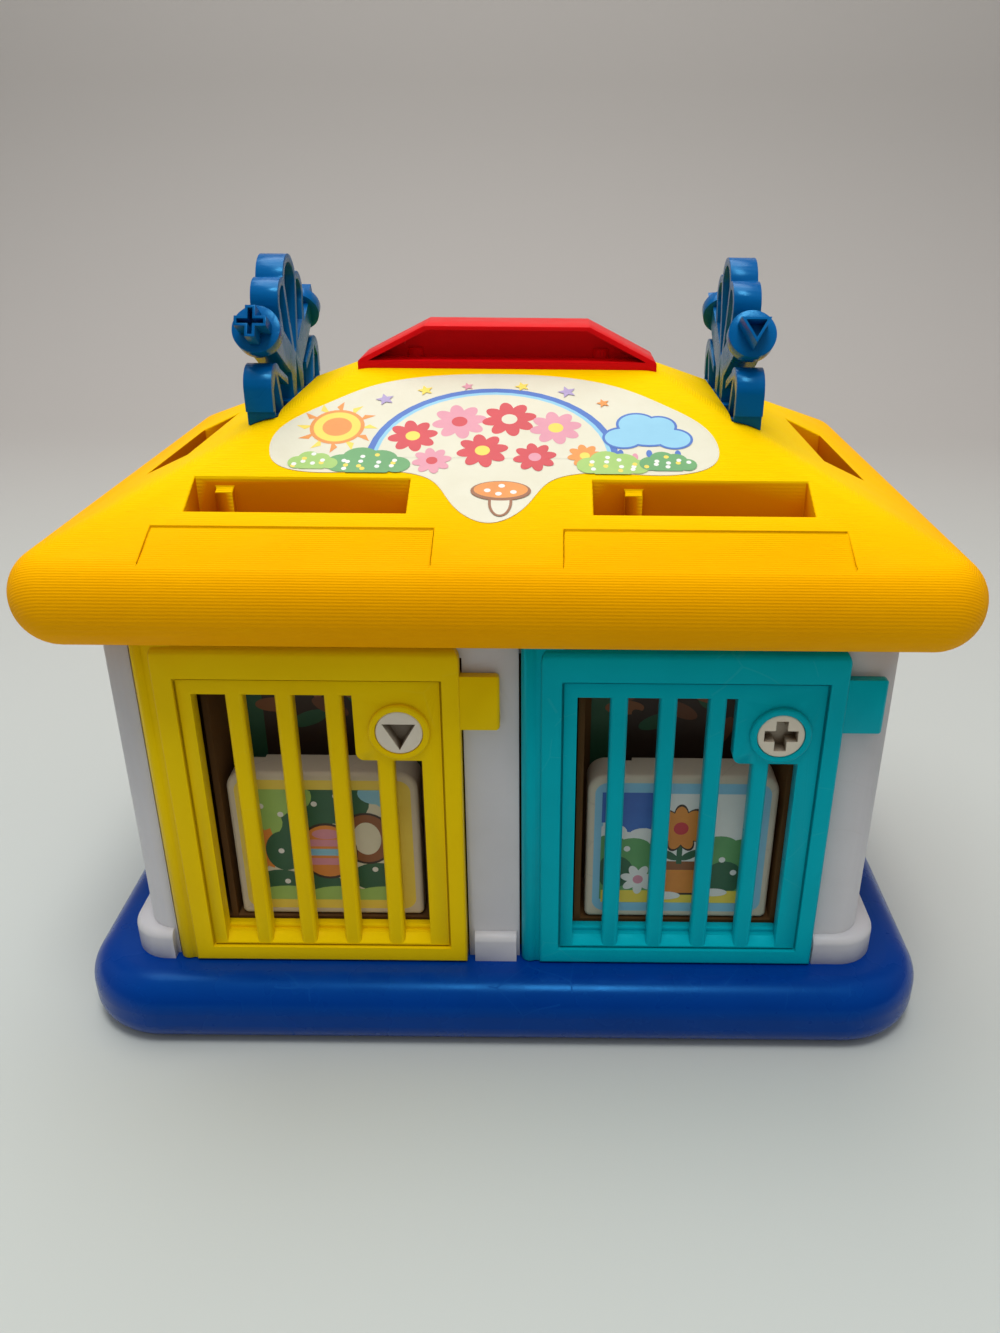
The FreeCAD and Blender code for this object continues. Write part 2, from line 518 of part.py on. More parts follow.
# Picture blocks and cage pictures
for c in cages:
    name, s, n = c[0], c[4], c[5]
    u0 = s + slot_play
    split = block_y + block_t / 2
    solid = box(u0, u0 + block_l, block_y, block_y + block_t, block_low, block_low + block_h)
    solid = solid.makeFillet(block_corner, [e for e in solid.Edges if abs(e.BoundBox.YMax - e.BoundBox.YMin) > 4 and e.BoundBox.ZMin > block_low + 1])
    solid = solid.makeFillet(2.0, [e for e in solid.Edges if abs(e.BoundBox.YMax - e.BoundBox.YMin) > 4 and e.BoundBox.ZMax < block_low + 1])
    solid = solid.makeFillet(1.4, [e for e in solid.Edges if e.BoundBox.YMax < block_y + 1e-3 or e.BoundBox.YMin > block_y + block_t - 1e-3])
    cavity = box(u0 + 2, u0 + block_l - 2, block_y + 2, block_y + block_t - nib_d - groove_play - 1.8, block_low + 2, block_low + block_h - 2)
    cavity = cavity.makeFillet(4.5, [e for e in cavity.Edges if abs(e.BoundBox.YMax - e.BoundBox.YMin) > 2])
    groove = box(n - groove_play, n + nib_w + groove_play, block_y + block_t - nib_d - groove_play, block_y + block_t + 1, 0, 200)
    solid = solid.cut([cavity, groove])
    front = solid.common(box(0, 100, 0, split, 0, 200))
    back = solid.common(box(0, 100, split, 50, 0, 200))
    c0, z0 = u0 + (block_l - card_w) / 2, block_low + (block_h - card_h) / 2
    card = box(c0, c0 + card_w, block_y, block_y + card_in, z0, z0 + card_h)
    card = card.makeFillet(card_corner, [e for e in card.Edges if abs(e.BoundBox.YMax - e.BoundBox.YMin) > 0.1])
    front = front.cut(card)
    save("block_face_" + name, cage_place(front, c))
    save("block_back_" + name, cage_place(back, c))
    save("block_card_" + name, cage_place(card, c))
    pic = box(s + 2, s + slot_l - 2, cage_deep - sticker_t, cage_deep, 62.0, 126.0)
    save("cage_picture_" + name, cage_place(pic, c))


# Keys
def key(x, front_kind, back_kind):
    h = key_t / 2
    d = V(key_t, 0, 0)

    def disc(r, y, z, a=-h, t=key_t):
        return cyl(r, t, V(x + a, y, z), V(1, 0, 0))

    def poly(points, a=-h, t=key_t):
        return prism([V(x + a, y, z) for y, z in points], V(t, 0, 0))

    r_top, r_side = 9.4, 7.2
    crown = [disc(r_top, 0, key_crown_z - r_top)]
    crown += [disc(r_side, sy * 10.6, key_crown_z - 13.2) for sy in (-1, 1)]
    crown.append(poly([(-17.8, key_crown_z - 13.2), (17.8, key_crown_z - 13.2), (16.2, 212), (6, 200), (-6, 200), (-16.2, 212)]))
    trunk = [poly([(-7, 186), (7, 186), (9, 208), (-9, 208)])]
    arms, feet, knobs = [], [], []
    a = atan2(knob_z - 201.5, knob_y - 3.0)
    ay, az = cos(a), sin(a)
    for sy in (-1, 1):
        w = 3.6
        arms.append(poly([(sy * (2 - w * az), 201 + w * ay), (sy * (2 + w * az), 201 - w * ay),
                          (sy * (knob_y + w * az), knob_z - w * ay), (sy * (knob_y - w * az), knob_z + w * ay)]))
        feet.append(disc(7.0, sy * 28.6, 199.6))
        feet.append(poly([(sy * 14, 193.4), (sy * 35.6, 193.4), (sy * 35.6, 199.6), (sy * 28.6, 206.6), (sy * 14, 200)]))
        feet.append(poly([(sy * 14, 184), (sy * 34.2, 187.6), (sy * 34.2, 193.6), (sy * 14, 193.6)]))
        knobs.append(cyl(knob_r, knob_t, V(x, sy * knob_y, knob_z), V(0, sy * ay, az)))
    tongue = poly([(-tongue_half, socket_floor + 0.3), (tongue_half, socket_floor + 0.3), (tongue_half, 192), (-tongue_half, 192)])
    body = union(crown + trunk + arms + feet + [tongue])
    # recessed web on both faces inside a rim
    pocket = []
    crown_in = union([disc(r_top - 2.4, 0, key_crown_z - r_top)] + [disc(r_side - 2.4, sy * 10.6, key_crown_z - 13.2) for sy in (-1, 1)]
                     + [poly([(-15.0, key_crown_z - 13.2), (15.0, key_crown_z - 13.2), (13.6, 214), (0, 205.5), (-13.6, 214)])])
    rib = []
    for sy in (-1, 1):
        rib.append(poly([(sy * 0.4, 203), (sy * 2.8, 203), (sy * 10.2, 231), (sy * 8.2, 232)]))
    crown_in = crown_in.cut(rib)
    foot_in = []
    for sy in (-1, 1):
        foot_in.append(poly([(sy * 12.5, 189.5), (sy * 33.0, 192.0), (sy * 33.0, 199.4), (sy * 28.4, 203.8), (sy * 12.5, 197.0)]).cut(
            poly([(sy * 20.5, 186), (sy * 22.7, 186), (sy * 29.8, 207), (sy * 27.6, 207)])))
    drop = union([disc(3.0, 0, 193.6), poly([(-2.8, 194.6), (2.8, 194.6), (0, 204.5)])])
    for p in [crown_in] + foot_in + [drop]:
        for a0, t in ((-h - 1, h - web_t / 2 + 1), (web_t / 2, h - web_t / 2 + 1)):
            pocket.append(p.common(box(x + a0, x + a0 + t, -60, 60, 150, 260)))
    body = body.cut(pocket)
    # outside the socket the feet stop just over the roof
    for sy in (-1, 1):
        y0, y1 = sorted((sy * tongue_half, sy * (tongue_half + 20)))
        body = body.cut(roof_outer.translated(V(0, 0, 0.25)).common(box(x - key_t, x + key_t, y0, y1, 150, 220)))
    ends = []
    for sy, kind in ((-1, front_kind), (1, back_kind)):
        # prong drawn along +Y then turned to the arm's direction
        p = keyhole(kind, 0, prong_l, -0.3).cut(keyhole(kind, prong_l - prong_hollow, prong_l + 1, -0.3 - prong_wall))
        p.rotate(V(0, 0, 0), V(1, 0, 0), degrees(a))
        if sy < 0:
            p = p.mirror(V(0, 0, 0), V(0, 1, 0))
        p.translate(V(x, sy * (knob_y + (knob_t - 0.6) * ay), knob_z + (knob_t - 0.6) * az))
        ends.append(p)
    return union([body] + knobs + ends)


save("key_left", key(-key_x, "plus", "square"))
save("key_right", key(key_x, "triangle", "star"))
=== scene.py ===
import bpy
from math import atan, cos, pi, radians, sin, tan
from mathutils import Matrix, Vector


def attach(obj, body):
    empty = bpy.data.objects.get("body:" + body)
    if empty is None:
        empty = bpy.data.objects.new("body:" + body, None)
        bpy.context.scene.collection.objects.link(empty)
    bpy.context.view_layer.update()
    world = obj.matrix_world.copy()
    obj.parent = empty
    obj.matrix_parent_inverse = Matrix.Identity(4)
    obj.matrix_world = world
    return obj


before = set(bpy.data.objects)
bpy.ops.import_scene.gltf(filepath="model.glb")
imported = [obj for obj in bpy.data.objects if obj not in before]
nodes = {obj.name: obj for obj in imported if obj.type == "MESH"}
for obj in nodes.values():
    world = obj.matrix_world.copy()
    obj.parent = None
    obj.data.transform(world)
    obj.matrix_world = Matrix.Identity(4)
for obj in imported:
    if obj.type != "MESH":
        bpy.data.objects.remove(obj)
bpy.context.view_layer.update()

perMetre = 1000  # sizes and places of pieces are written in millimetres
print("frame loaded:", len(nodes), "CAD nodes")


# Camera and light
cameraValues = {
    "place": (0.01342, -0.35553, 0.262),
    "tiltDown": 25.47,
    "roll": 0.52,
    "lens": 28.6,
    "sensor": 36,
    "shiftX": -0.035,
    "clip": 0.01,
}
worldValues = {
    "ground": (0.20, 0.205, 0.20), "groundAt": 0.3,
    "horizon": (0.10, 0.10, 0.105), "horizonAt": 0.52,
    "zenith": (0.66, 0.67, 0.68), "zenithAt": 0.95,
    "wall": (0.42, 0.395, 0.37),
}
lampValues = {
    "topLamp": {"place": (-0.15, 0.3, 1.35), "size": 1.1, "power": 10.5},
    "frontLamp": {"place": (0.05, -0.46, 1.45), "size": 0.42, "power": 7.2},
}
lampAim = (0, 0, 0.1)


def makeCamera(values):
    tilt, roll = radians(values["tiltDown"]), radians(values["roll"])
    forward = Vector((0, cos(tilt), -sin(tilt)))
    up = Vector((0, sin(tilt), cos(tilt)))
    right = Vector((1, 0, 0))
    rightRolled = cos(roll) * right + sin(roll) * up
    upRolled = -sin(roll) * right + cos(roll) * up
    camera = bpy.data.cameras.new("photoCamera")
    camera.sensor_width = values["sensor"]
    camera.lens = values["lens"]
    camera.shift_x = values["shiftX"]
    camera.clip_start = values["clip"]
    holder = bpy.data.objects.new("photoCamera", camera)
    bpy.context.scene.collection.objects.link(holder)
    turn = Matrix((rightRolled, upRolled, -forward)).transposed().to_4x4()
    holder.matrix_world = Matrix.Translation(values["place"]) @ turn
    bpy.context.scene.camera = holder


def makeLamp(name, values):
    lamp = bpy.data.lights.new(name, "AREA")
    lamp.shape = "DISK"
    lamp.size = values["size"]
    lamp.energy = values["power"]
    holder = bpy.data.objects.new(name, lamp)
    bpy.context.scene.collection.objects.link(holder)
    holder.location = values["place"]
    aim = Vector(lampAim) - Vector(values["place"])
    holder.rotation_euler = aim.to_track_quat("-Z", "Y").to_euler()


def makeWorld(values):
    world = bpy.data.worlds.new("studio")
    bpy.context.scene.world = world
    world.use_nodes = True
    tree = world.node_tree
    link = tree.links.new
    coords = tree.nodes.new("ShaderNodeTexCoord")
    split = tree.nodes.new("ShaderNodeSeparateXYZ")
    ramp = tree.nodes.new("ShaderNodeValToRGB")
    height = tree.nodes.new("ShaderNodeMapRange")
    height.inputs["From Min"].default_value = -1
    link(coords.outputs["Generated"], split.inputs[0])
    link(split.outputs["Z"], height.inputs["Value"])
    link(height.outputs["Result"], ramp.inputs["Fac"])
    stops = ramp.color_ramp.elements
    stops[0].position = values["groundAt"]
    stops[0].color = (*values["ground"], 1)
    stops[1].position = values["zenithAt"]
    stops[1].color = (*values["zenith"], 1)
    middle = stops.new(values["horizonAt"])
    middle.color = (*values["horizon"], 1)
    # the camera sees a plain pale wall, and only the light follows the ramp
    path = tree.nodes.new("ShaderNodeLightPath")
    seen = tree.nodes.new("ShaderNodeMix")
    seen.data_type = "RGBA"
    seen.inputs["B"].default_value = (*values["wall"], 1)
    link(path.outputs["Is Camera Ray"], seen.inputs["Factor"])
    link(ramp.outputs["Color"], seen.inputs["A"])
    link(seen.outputs["Result"], tree.nodes["Background"].inputs["Color"])


makeCamera(cameraValues)
makeWorld(worldValues)
for name, values in lampValues.items():
    makeLamp(name, values)
bpy.context.scene.view_settings.view_transform = "Standard"
print("camera and lamps set")


# Shader helpers
def addNode(tree, kind, place, **settings):
    node = tree.nodes.new(kind)
    node.location = place
    for key, value in settings.items():
        if key == "inputs":
            for socket, number in value.items():
                node.inputs[socket].default_value = number
        else:
            setattr(node, key, value)
    return node


def addMath(tree, place, operation, first, second):
    # a term is a socket or a plain number
    node = addNode(tree, "ShaderNodeMath", place, operation=operation)
    for number, term in enumerate((first, second)):
        if isinstance(term, (int, float)):
            node.inputs[number].default_value = term
        else:
            tree.links.new(term, node.inputs[number])
    return node.outputs[0]


def mixColour(tree, place, factor, under, over):
    # over hides under where the factor is 1; each is a socket or a plain colour
    node = addNode(tree, "ShaderNodeMix", place, data_type="RGBA")
    tree.links.new(factor, node.inputs["Factor"])
    for label, part in (("A", under), ("B", over)):
        if isinstance(part, tuple):
            node.inputs[label].default_value = (*part, 1)
        else:
            tree.links.new(part, node.inputs[label])
    return node.outputs["Result"]


def newGroup(name, ins, outs):
    group = bpy.data.node_groups.new(name, "ShaderNodeTree")
    for label, kind, value in ins:
        socket = group.interface.new_socket(name=label, in_out="INPUT", socket_type="NodeSocket" + kind)
        if value is not None:
            socket.default_value = value
    for label, kind in outs:
        group.interface.new_socket(name=label, in_out="OUTPUT", socket_type="NodeSocket" + kind)
    source = addNode(group, "NodeGroupInput", (-900, 0))
    return group, source.outputs, addNode(group, "NodeGroupOutput", (900, 0)).inputs


# Uneven colour of moulded plastic and of print
tintSpread = {"detail": 4.0, "rough": 0.6, "low": 0.35, "high": 0.7}


def makeCloudyTint(values):
    group, source, result = newGroup("cloudyTint", [
        ("Vector", "Vector", None), ("Colour", "Color", (0.5, 0.5, 0.5, 1)),
        ("Shade", "Color", (0.4, 0.4, 0.4, 1)), ("Scale", "Float", 30.0), ("Amount", "Float", 0.3)],
        [("Colour", "Color")])
    link = group.links.new
    noise = addNode(group, "ShaderNodeTexNoise", (-600, 100),
                    inputs={"Detail": values["detail"], "Roughness": values["rough"]})
    spread = addNode(group, "ShaderNodeMapRange", (-380, 100),
                     inputs={"From Min": values["low"], "From Max": values["high"]})
    link(source["Vector"], noise.inputs["Vector"])
    link(source["Scale"], noise.inputs["Scale"])
    link(noise.outputs["Fac"], spread.inputs["Value"])
    strength = addMath(group, (-180, 60), "MULTIPLY", spread.outputs["Result"], source["Amount"])
    colour = mixColour(group, (100, 0), strength, source["Colour"], source["Shade"])
    link(colour, result["Colour"])
    return group


# Thin scratches in scattered patches
scuffValues = {"bend": 0.02, "bendScale": 22.0, "bendDetail": 1.0, "patchScale": 34.0, "patchDetail": 2.0}


def makeScuffs(values):
    group, source, result = newGroup("scuffs", [
        ("Vector", "Vector", None), ("Scale", "Float", 60.0), ("Width", "Float", 0.012),
        ("Coverage", "Float", 0.55)], [("Mask", "Float")])
    link = group.links.new
    warp = addNode(group, "ShaderNodeTexNoise", (-700, -150),
                   inputs={"Scale": values["bendScale"], "Detail": values["bendDetail"]})
    bent = addNode(group, "ShaderNodeMix", (-500, 0), data_type="VECTOR", inputs={"Factor": values["bend"]})
    cells = addNode(group, "ShaderNodeTexVoronoi", (-300, 0), feature="DISTANCE_TO_EDGE")
    patch = addNode(group, "ShaderNodeTexNoise", (-300, -300),
                    inputs={"Scale": values["patchScale"], "Detail": values["patchDetail"]})
    link(source["Vector"], warp.inputs["Vector"])
    link(source["Vector"], bent.inputs["A"])
    link(warp.outputs["Color"], bent.inputs["B"])
    link(bent.outputs["Result"], cells.inputs["Vector"])
    link(source["Scale"], cells.inputs["Scale"])
    link(source["Vector"], patch.inputs["Vector"])
    thin = addMath(group, (-80, 0), "LESS_THAN", cells.outputs["Distance"], source["Width"])
    where = addMath(group, (-80, -250), "GREATER_THAN", patch.outputs["Fac"], source["Coverage"])
    link(addMath(group, (150, 0), "MULTIPLY", thin, where), result["Mask"])
    return group


# Fine grain over slow waves, as a mould leaves them
skinDetail = {"fine": 2.0, "broad": 1.0}


def makeMouldSkin(values):
    group, source, result = newGroup("mouldSkin", [
        ("Vector", "Vector", None), ("Grain", "Float", 1400.0), ("Wave", "Float", 45.0),
        ("WaveShare", "Float", 0.6)], [("Height", "Float")])
    link = group.links.new
    fine = addNode(group, "ShaderNodeTexNoise", (-500, 120), inputs={"Detail": values["fine"]})
    broad = addNode(group, "ShaderNodeTexNoise", (-500, -120), inputs={"Detail": values["broad"]})
    for noise, scale in ((fine, "Grain"), (broad, "Wave")):
        link(source["Vector"], noise.inputs["Vector"])
        link(source[scale], noise.inputs["Scale"])
    scaled = addMath(group, (-250, -120), "MULTIPLY", broad.outputs["Fac"], source["WaveShare"])
    link(addMath(group, (0, 0), "ADD", fine.outputs["Fac"], scaled), result["Height"])
    return group


# Painted shade: a darker colour where a surface is shut in by its own piece
hollowShadeValues = {"samples": 6, "shut": 0.2, "open": 0.74}


def makeHollowShade(values):
    group, source, result = newGroup("hollowShade", [
        ("Colour", "Color", (0.5, 0.5, 0.5, 1)), ("Dirt", "Color", (0.1, 0.06, 0.03, 1)),
        ("Reach", "Float", 0.004), ("Strength", "Float", 0.5)], [("Colour", "Color")])
    link = group.links.new
    shut = addNode(group, "ShaderNodeAmbientOcclusion", (-600, 100),
                   samples=values["samples"], only_local=True)
    depth = addNode(group, "ShaderNodeMapRange", (-380, 100), inputs={
        "From Min": values["shut"], "From Max": values["open"], "To Min": 1.0, "To Max": 0.0})
    link(source["Reach"], shut.inputs["Distance"])
    link(shut.outputs["AO"], depth.inputs["Value"])
    amount = addMath(group, (-180, 100), "MULTIPLY", depth.outputs["Result"], source["Strength"])
    link(mixColour(group, (100, 0), amount, source["Colour"], source["Dirt"]), result["Colour"])
    return group


# Straw lines of the roof; its slots lie within reachX and reachY of its middle, in metres
grooveValues = {
    "fibreStretch": 90.0, "fibreScale": 1.7, "fibreDetail": 3.0, "fibreRough": 0.65,
    "upright": 0.12, "sloping": 0.3, "reachX": 0.1145, "reachY": 0.0745,
}


def makeStrawGrooves(values):
    # lines run round the roof at one height: along X in front, along Y at the sides
    group, source, result = newGroup("strawGrooves", [
        ("Vector", "Vector", None), ("Normal", "Vector", None), ("Lines", "Float", 700.0),
        ("Broken", "Float", 0.6)], [("Height", "Float"), ("Furrow", "Float"), ("Outside", "Float")])
    link = group.links.new
    place = addNode(group, "ShaderNodeSeparateXYZ", (-700, 100))
    facing = addNode(group, "ShaderNodeSeparateXYZ", (-700, -150))
    link(source["Vector"], place.inputs[0])
    link(source["Normal"], facing.inputs[0])

    def absolute(socket, y):
        node = addNode(group, "ShaderNodeMath", (-520, y), operation="ABSOLUTE")
        link(socket, node.inputs[0])
        return node.outputs[0]

    def frontOrSide(spot, front, atSide):
        node = addNode(group, "ShaderNodeMix", spot, data_type="FLOAT")
        link(side, node.inputs["Factor"])
        link(front, node.inputs["A"])
        link(atSide, node.inputs["B"])
        return node.outputs["Result"]

    sideways, lengthways = absolute(facing.outputs["X"], -150), absolute(facing.outputs["Y"], -280)
    side = addMath(group, (-340, -200), "GREATER_THAN", sideways, lengthways)
    outX, outY = absolute(place.outputs["X"], 60), absolute(place.outputs["Y"], 160)
    across = frontOrSide((-160, 60), outY, outX)
    along = frontOrSide((-160, -120), place.outputs["X"], place.outputs["Y"])
    down = addMath(group, (20, 120), "SUBTRACT", place.outputs["Z"], across)
    phase = addMath(group, (180, 180), "MULTIPLY", down, source["Lines"])
    turns = addMath(group, (320, 180), "MULTIPLY", phase, 2 * pi)
    wave = addNode(group, "ShaderNodeMath", (460, 180), operation="SINE")
    link(turns, wave.inputs[0])
    straw = addNode(group, "ShaderNodeCombineXYZ", (180, -60))
    link(addMath(group, (20, -120), "MULTIPLY", along, values["fibreStretch"]), straw.inputs["X"])
    link(phase, straw.inputs["Y"])
    fibres = addNode(group, "ShaderNodeTexNoise", (340, -60), inputs={
        "Scale": values["fibreScale"], "Detail": values["fibreDetail"], "Roughness": values["fibreRough"]})
    link(straw.outputs[0], fibres.inputs["Vector"])
    mixed = addNode(group, "ShaderNodeMix", (620, 60), data_type="FLOAT")
    link(source["Broken"], mixed.inputs["Factor"])
    link(wave.outputs[0], mixed.inputs["A"])
    link(fibres.outputs["Fac"], mixed.inputs["B"])

    # smooth on the upright walls well within the eave, which are those of the slots; these also take the
    # painted slot shade
    upright = addNode(group, "ShaderNodeMapRange", (340, -300),
                      inputs={"From Min": values["sloping"], "From Max": values["upright"]})
    link(facing.outputs["Z"], upright.inputs["Value"])
    nearX = addMath(group, (340, -460), "LESS_THAN", outX, values["reachX"])
    nearY = addMath(group, (340, -620), "LESS_THAN", outY, values["reachY"])
    within = addMath(group, (520, -460), "MULTIPLY", nearX, upright.outputs["Result"])
    within = addMath(group, (520, -620), "MULTIPLY", nearY, within)
    outside = addMath(group, (680, -360), "SUBTRACT", 1.0, within)
    link(addMath(group, (760, 60), "MULTIPLY", mixed.outputs["Result"], outside), result["Height"])
    link(addMath(group, (760, -140), "MULTIPLY", fibres.outputs["Fac"], outside), result["Furrow"])
    link(outside, result["Outside"])
    return group


cloudyTint = makeCloudyTint(tintSpread)
scuffs = makeScuffs(scuffValues)
mouldSkin = makeMouldSkin(skinDetail)
strawGrooves = makeStrawGrooves(grooveValues)
hollowShade = makeHollowShade(hollowShadeValues)


def useGroup(tree, group, place, vector=None, **inputs):
    node = addNode(tree, "ShaderNodeGroup", place)
    node.node_tree = group
    for label, value in inputs.items():
        node.inputs[label].default_value = value
    if vector is not None:
        tree.links.new(vector, node.inputs["Vector"])
    return node


def newMaterial(name):
    material = bpy.data.materials.new(name)
    material.use_nodes = True
    tree = material.node_tree
    coords = addNode(tree, "ShaderNodeTexCoord", (-1300, 0))
    return material, tree, tree.nodes["Principled BSDF"], coords.outputs


# What a moulded piece has where its own values name nothing else
plasticValues = {
    "patch": 26.0, "amount": 0.5,
    "scuffScale": 48.0, "scuffWidth": 0.01, "scuffCover": 0.6, "markStrength": 0.35, "markRough": 0.18,
    "grain": 1500.0, "wave": 40.0, "waveShare": 1.2, "bump": 0.12, "bumpDepth": 0.0002,
    # painted shade in hollows: its colour as a share of the shade, its reach and its strength
    "hollowShadeShare": 0.45, "hollowShadeReach": 0.0025, "hollowShadeStrength": 0.5,
    "smoother": 0.05, "rougher": 0.07,
    "roughScale": 70.0, "roughDetail": 3.0, "roughLow": 0.3, "roughHigh": 0.7,
    "index": 1.47, "shine": 0.35, "glintWhite": 0.05,
    "glow": 0.0, "glowReach": (0.004, 0.003, 0.002), "coat": 0.0, "coatRough": 0.25,
}


def paintLitTop(tree, coords, colour, litTop):
    # painted light: paler and yellower up the slope towards the ridge than on the eave below
    rise = addNode(tree, "ShaderNodeSeparateXYZ", (-1100, 650))
    litShare = addNode(tree, "ShaderNodeMapRange", (-900, 700), interpolation_type="SMOOTHSTEP",
                    inputs={"From Min": litTop["low"], "From Max": litTop["high"]})
    tree.links.new(coords["Object"], rise.inputs[0])
    tree.links.new(rise.outputs["Z"], litShare.inputs["Value"])
    return mixColour(tree, (-620, 300), litShare.outputs["Result"], colour, litTop["colour"])


def layStraw(tree, coords, colour, values):
    # stained furrows, smooth slot walls in a painted orange shade, and the bump of the lines
    straw = values["straw"]
    grooves = useGroup(tree, strawGrooves, (-900, -560), coords["Object"],
                       Lines=straw["lines"], Broken=straw["broken"])
    tree.links.new(coords["Normal"], grooves.inputs["Normal"])
    furrow = addNode(tree, "ShaderNodeMapRange", (-700, -420), inputs={
        "From Min": straw["shallow"], "From Max": straw["deep"], "To Min": 0.0, "To Max": straw["stain"]})
    tree.links.new(grooves.outputs["Furrow"], furrow.inputs["Value"])
    stained = mixColour(tree, (-300, 250), furrow.outputs["Result"], colour, values["shade"])
    # painted shade: the slot walls take a deeper orange
    colour = mixColour(tree, (-200, 400), grooves.outputs["Outside"], straw["inside"], stained)
    bump = addNode(tree, "ShaderNodeBump", (-300, -500),
                   inputs={"Strength": straw["strength"], "Distance": straw["depth"]})
    tree.links.new(grooves.outputs["Height"], bump.inputs["Height"])
    return colour, bump.outputs["Normal"]


def setRoughness(tree, coords, shader, mask, values):
    patch = addNode(tree, "ShaderNodeTexNoise", (-900, 500),
                    inputs={"Scale": values["roughScale"], "Detail": values["roughDetail"]})
    rough = addNode(tree, "ShaderNodeMapRange", (-500, 480), inputs={
        "From Min": values["roughLow"], "From Max": values["roughHigh"],
        "To Min": values["rough"] - values["smoother"], "To Max": values["rough"] + values["rougher"]})
    tree.links.new(coords["Object"], patch.inputs["Vector"])
    tree.links.new(patch.outputs["Fac"], rough.inputs["Value"])
    scuffed = addMath(tree, (-400, 420), "MULTIPLY", mask, values["markRough"])
    total = addMath(tree, (-300, 420), "ADD", scuffed, rough.outputs["Result"])
    tree.links.new(total, shader.inputs["Roughness"])


def setGloss(shader, values):
    # a highlight takes the plastic's own hue unless a value names another
    white, peak = values["glintWhite"], max(values["colour"])
    glint = values.get("glint", [white + (1 - white) * c / peak for c in values["colour"]])
    shader.inputs["Specular Tint"].default_value = (*glint, 1)
    shader.inputs["IOR"].default_value = values["index"]
    shader.inputs["Specular IOR Level"].default_value = values["shine"]
    shader.inputs["Subsurface Weight"].default_value = values["glow"]
    shader.inputs["Subsurface Radius"].default_value = values["glowReach"]
    shader.inputs["Coat Weight"].default_value = values["coat"]
    shader.inputs["Coat Roughness"].default_value = values["coatRough"]


def mouldedPlastic(name, ownValues):
    values = {**plasticValues, **ownValues}
    material, tree, shader, coords = newMaterial(name)
    tint = useGroup(tree, cloudyTint, (-900, 250), coords["Object"], Colour=(*values["colour"], 1),
                    Shade=(*values["shade"], 1), Scale=values["patch"], Amount=values["amount"])
    marks = useGroup(tree, scuffs, (-900, 0), coords["Object"], Scale=values["scuffScale"],
                     Width=values["scuffWidth"], Coverage=values["scuffCover"])
    skin = useGroup(tree, mouldSkin, (-900, -300), coords["Object"], Grain=values["grain"],
                    Wave=values["wave"], WaveShare=values["waveShare"])
    colour = tint.outputs["Colour"]
    # painted light on the upper slope of the roof
    if "litTop" in values:
        colour = paintLitTop(tree, coords, colour, values["litTop"])
    worn = addMath(tree, (-700, 60), "MULTIPLY", marks.outputs["Mask"], values["markStrength"])
    colour = mixColour(tree, (-500, 250), worn, colour, values["mark"])
    under = None
    if "straw" in values:
        colour, under = layStraw(tree, coords, colour, values)
    # painted shade darkens the hollows of the piece
    hollowShadeColour = values.get("hollowShadeColour", [values["hollowShadeShare"] * c for c in values["shade"]])
    hollowShading = useGroup(tree, hollowShade, (-100, 250), Dirt=(*hollowShadeColour, 1),
                     Reach=values["hollowShadeReach"], Strength=values["hollowShadeStrength"])
    tree.links.new(colour, hollowShading.inputs["Colour"])
    tree.links.new(hollowShading.outputs["Colour"], shader.inputs["Base Color"])
    setRoughness(tree, coords, shader, marks.outputs["Mask"], values)
    bump = addNode(tree, "ShaderNodeBump", (-100, -300),
                   inputs={"Strength": values["bump"], "Distance": values["bumpDepth"]})
    tree.links.new(skin.outputs["Height"], bump.inputs["Height"])
    if under is not None:
        tree.links.new(under, bump.inputs["Normal"])
    tree.links.new(bump.outputs["Normal"], shader.inputs["Normal"])
    setGloss(shader, values)
    return material


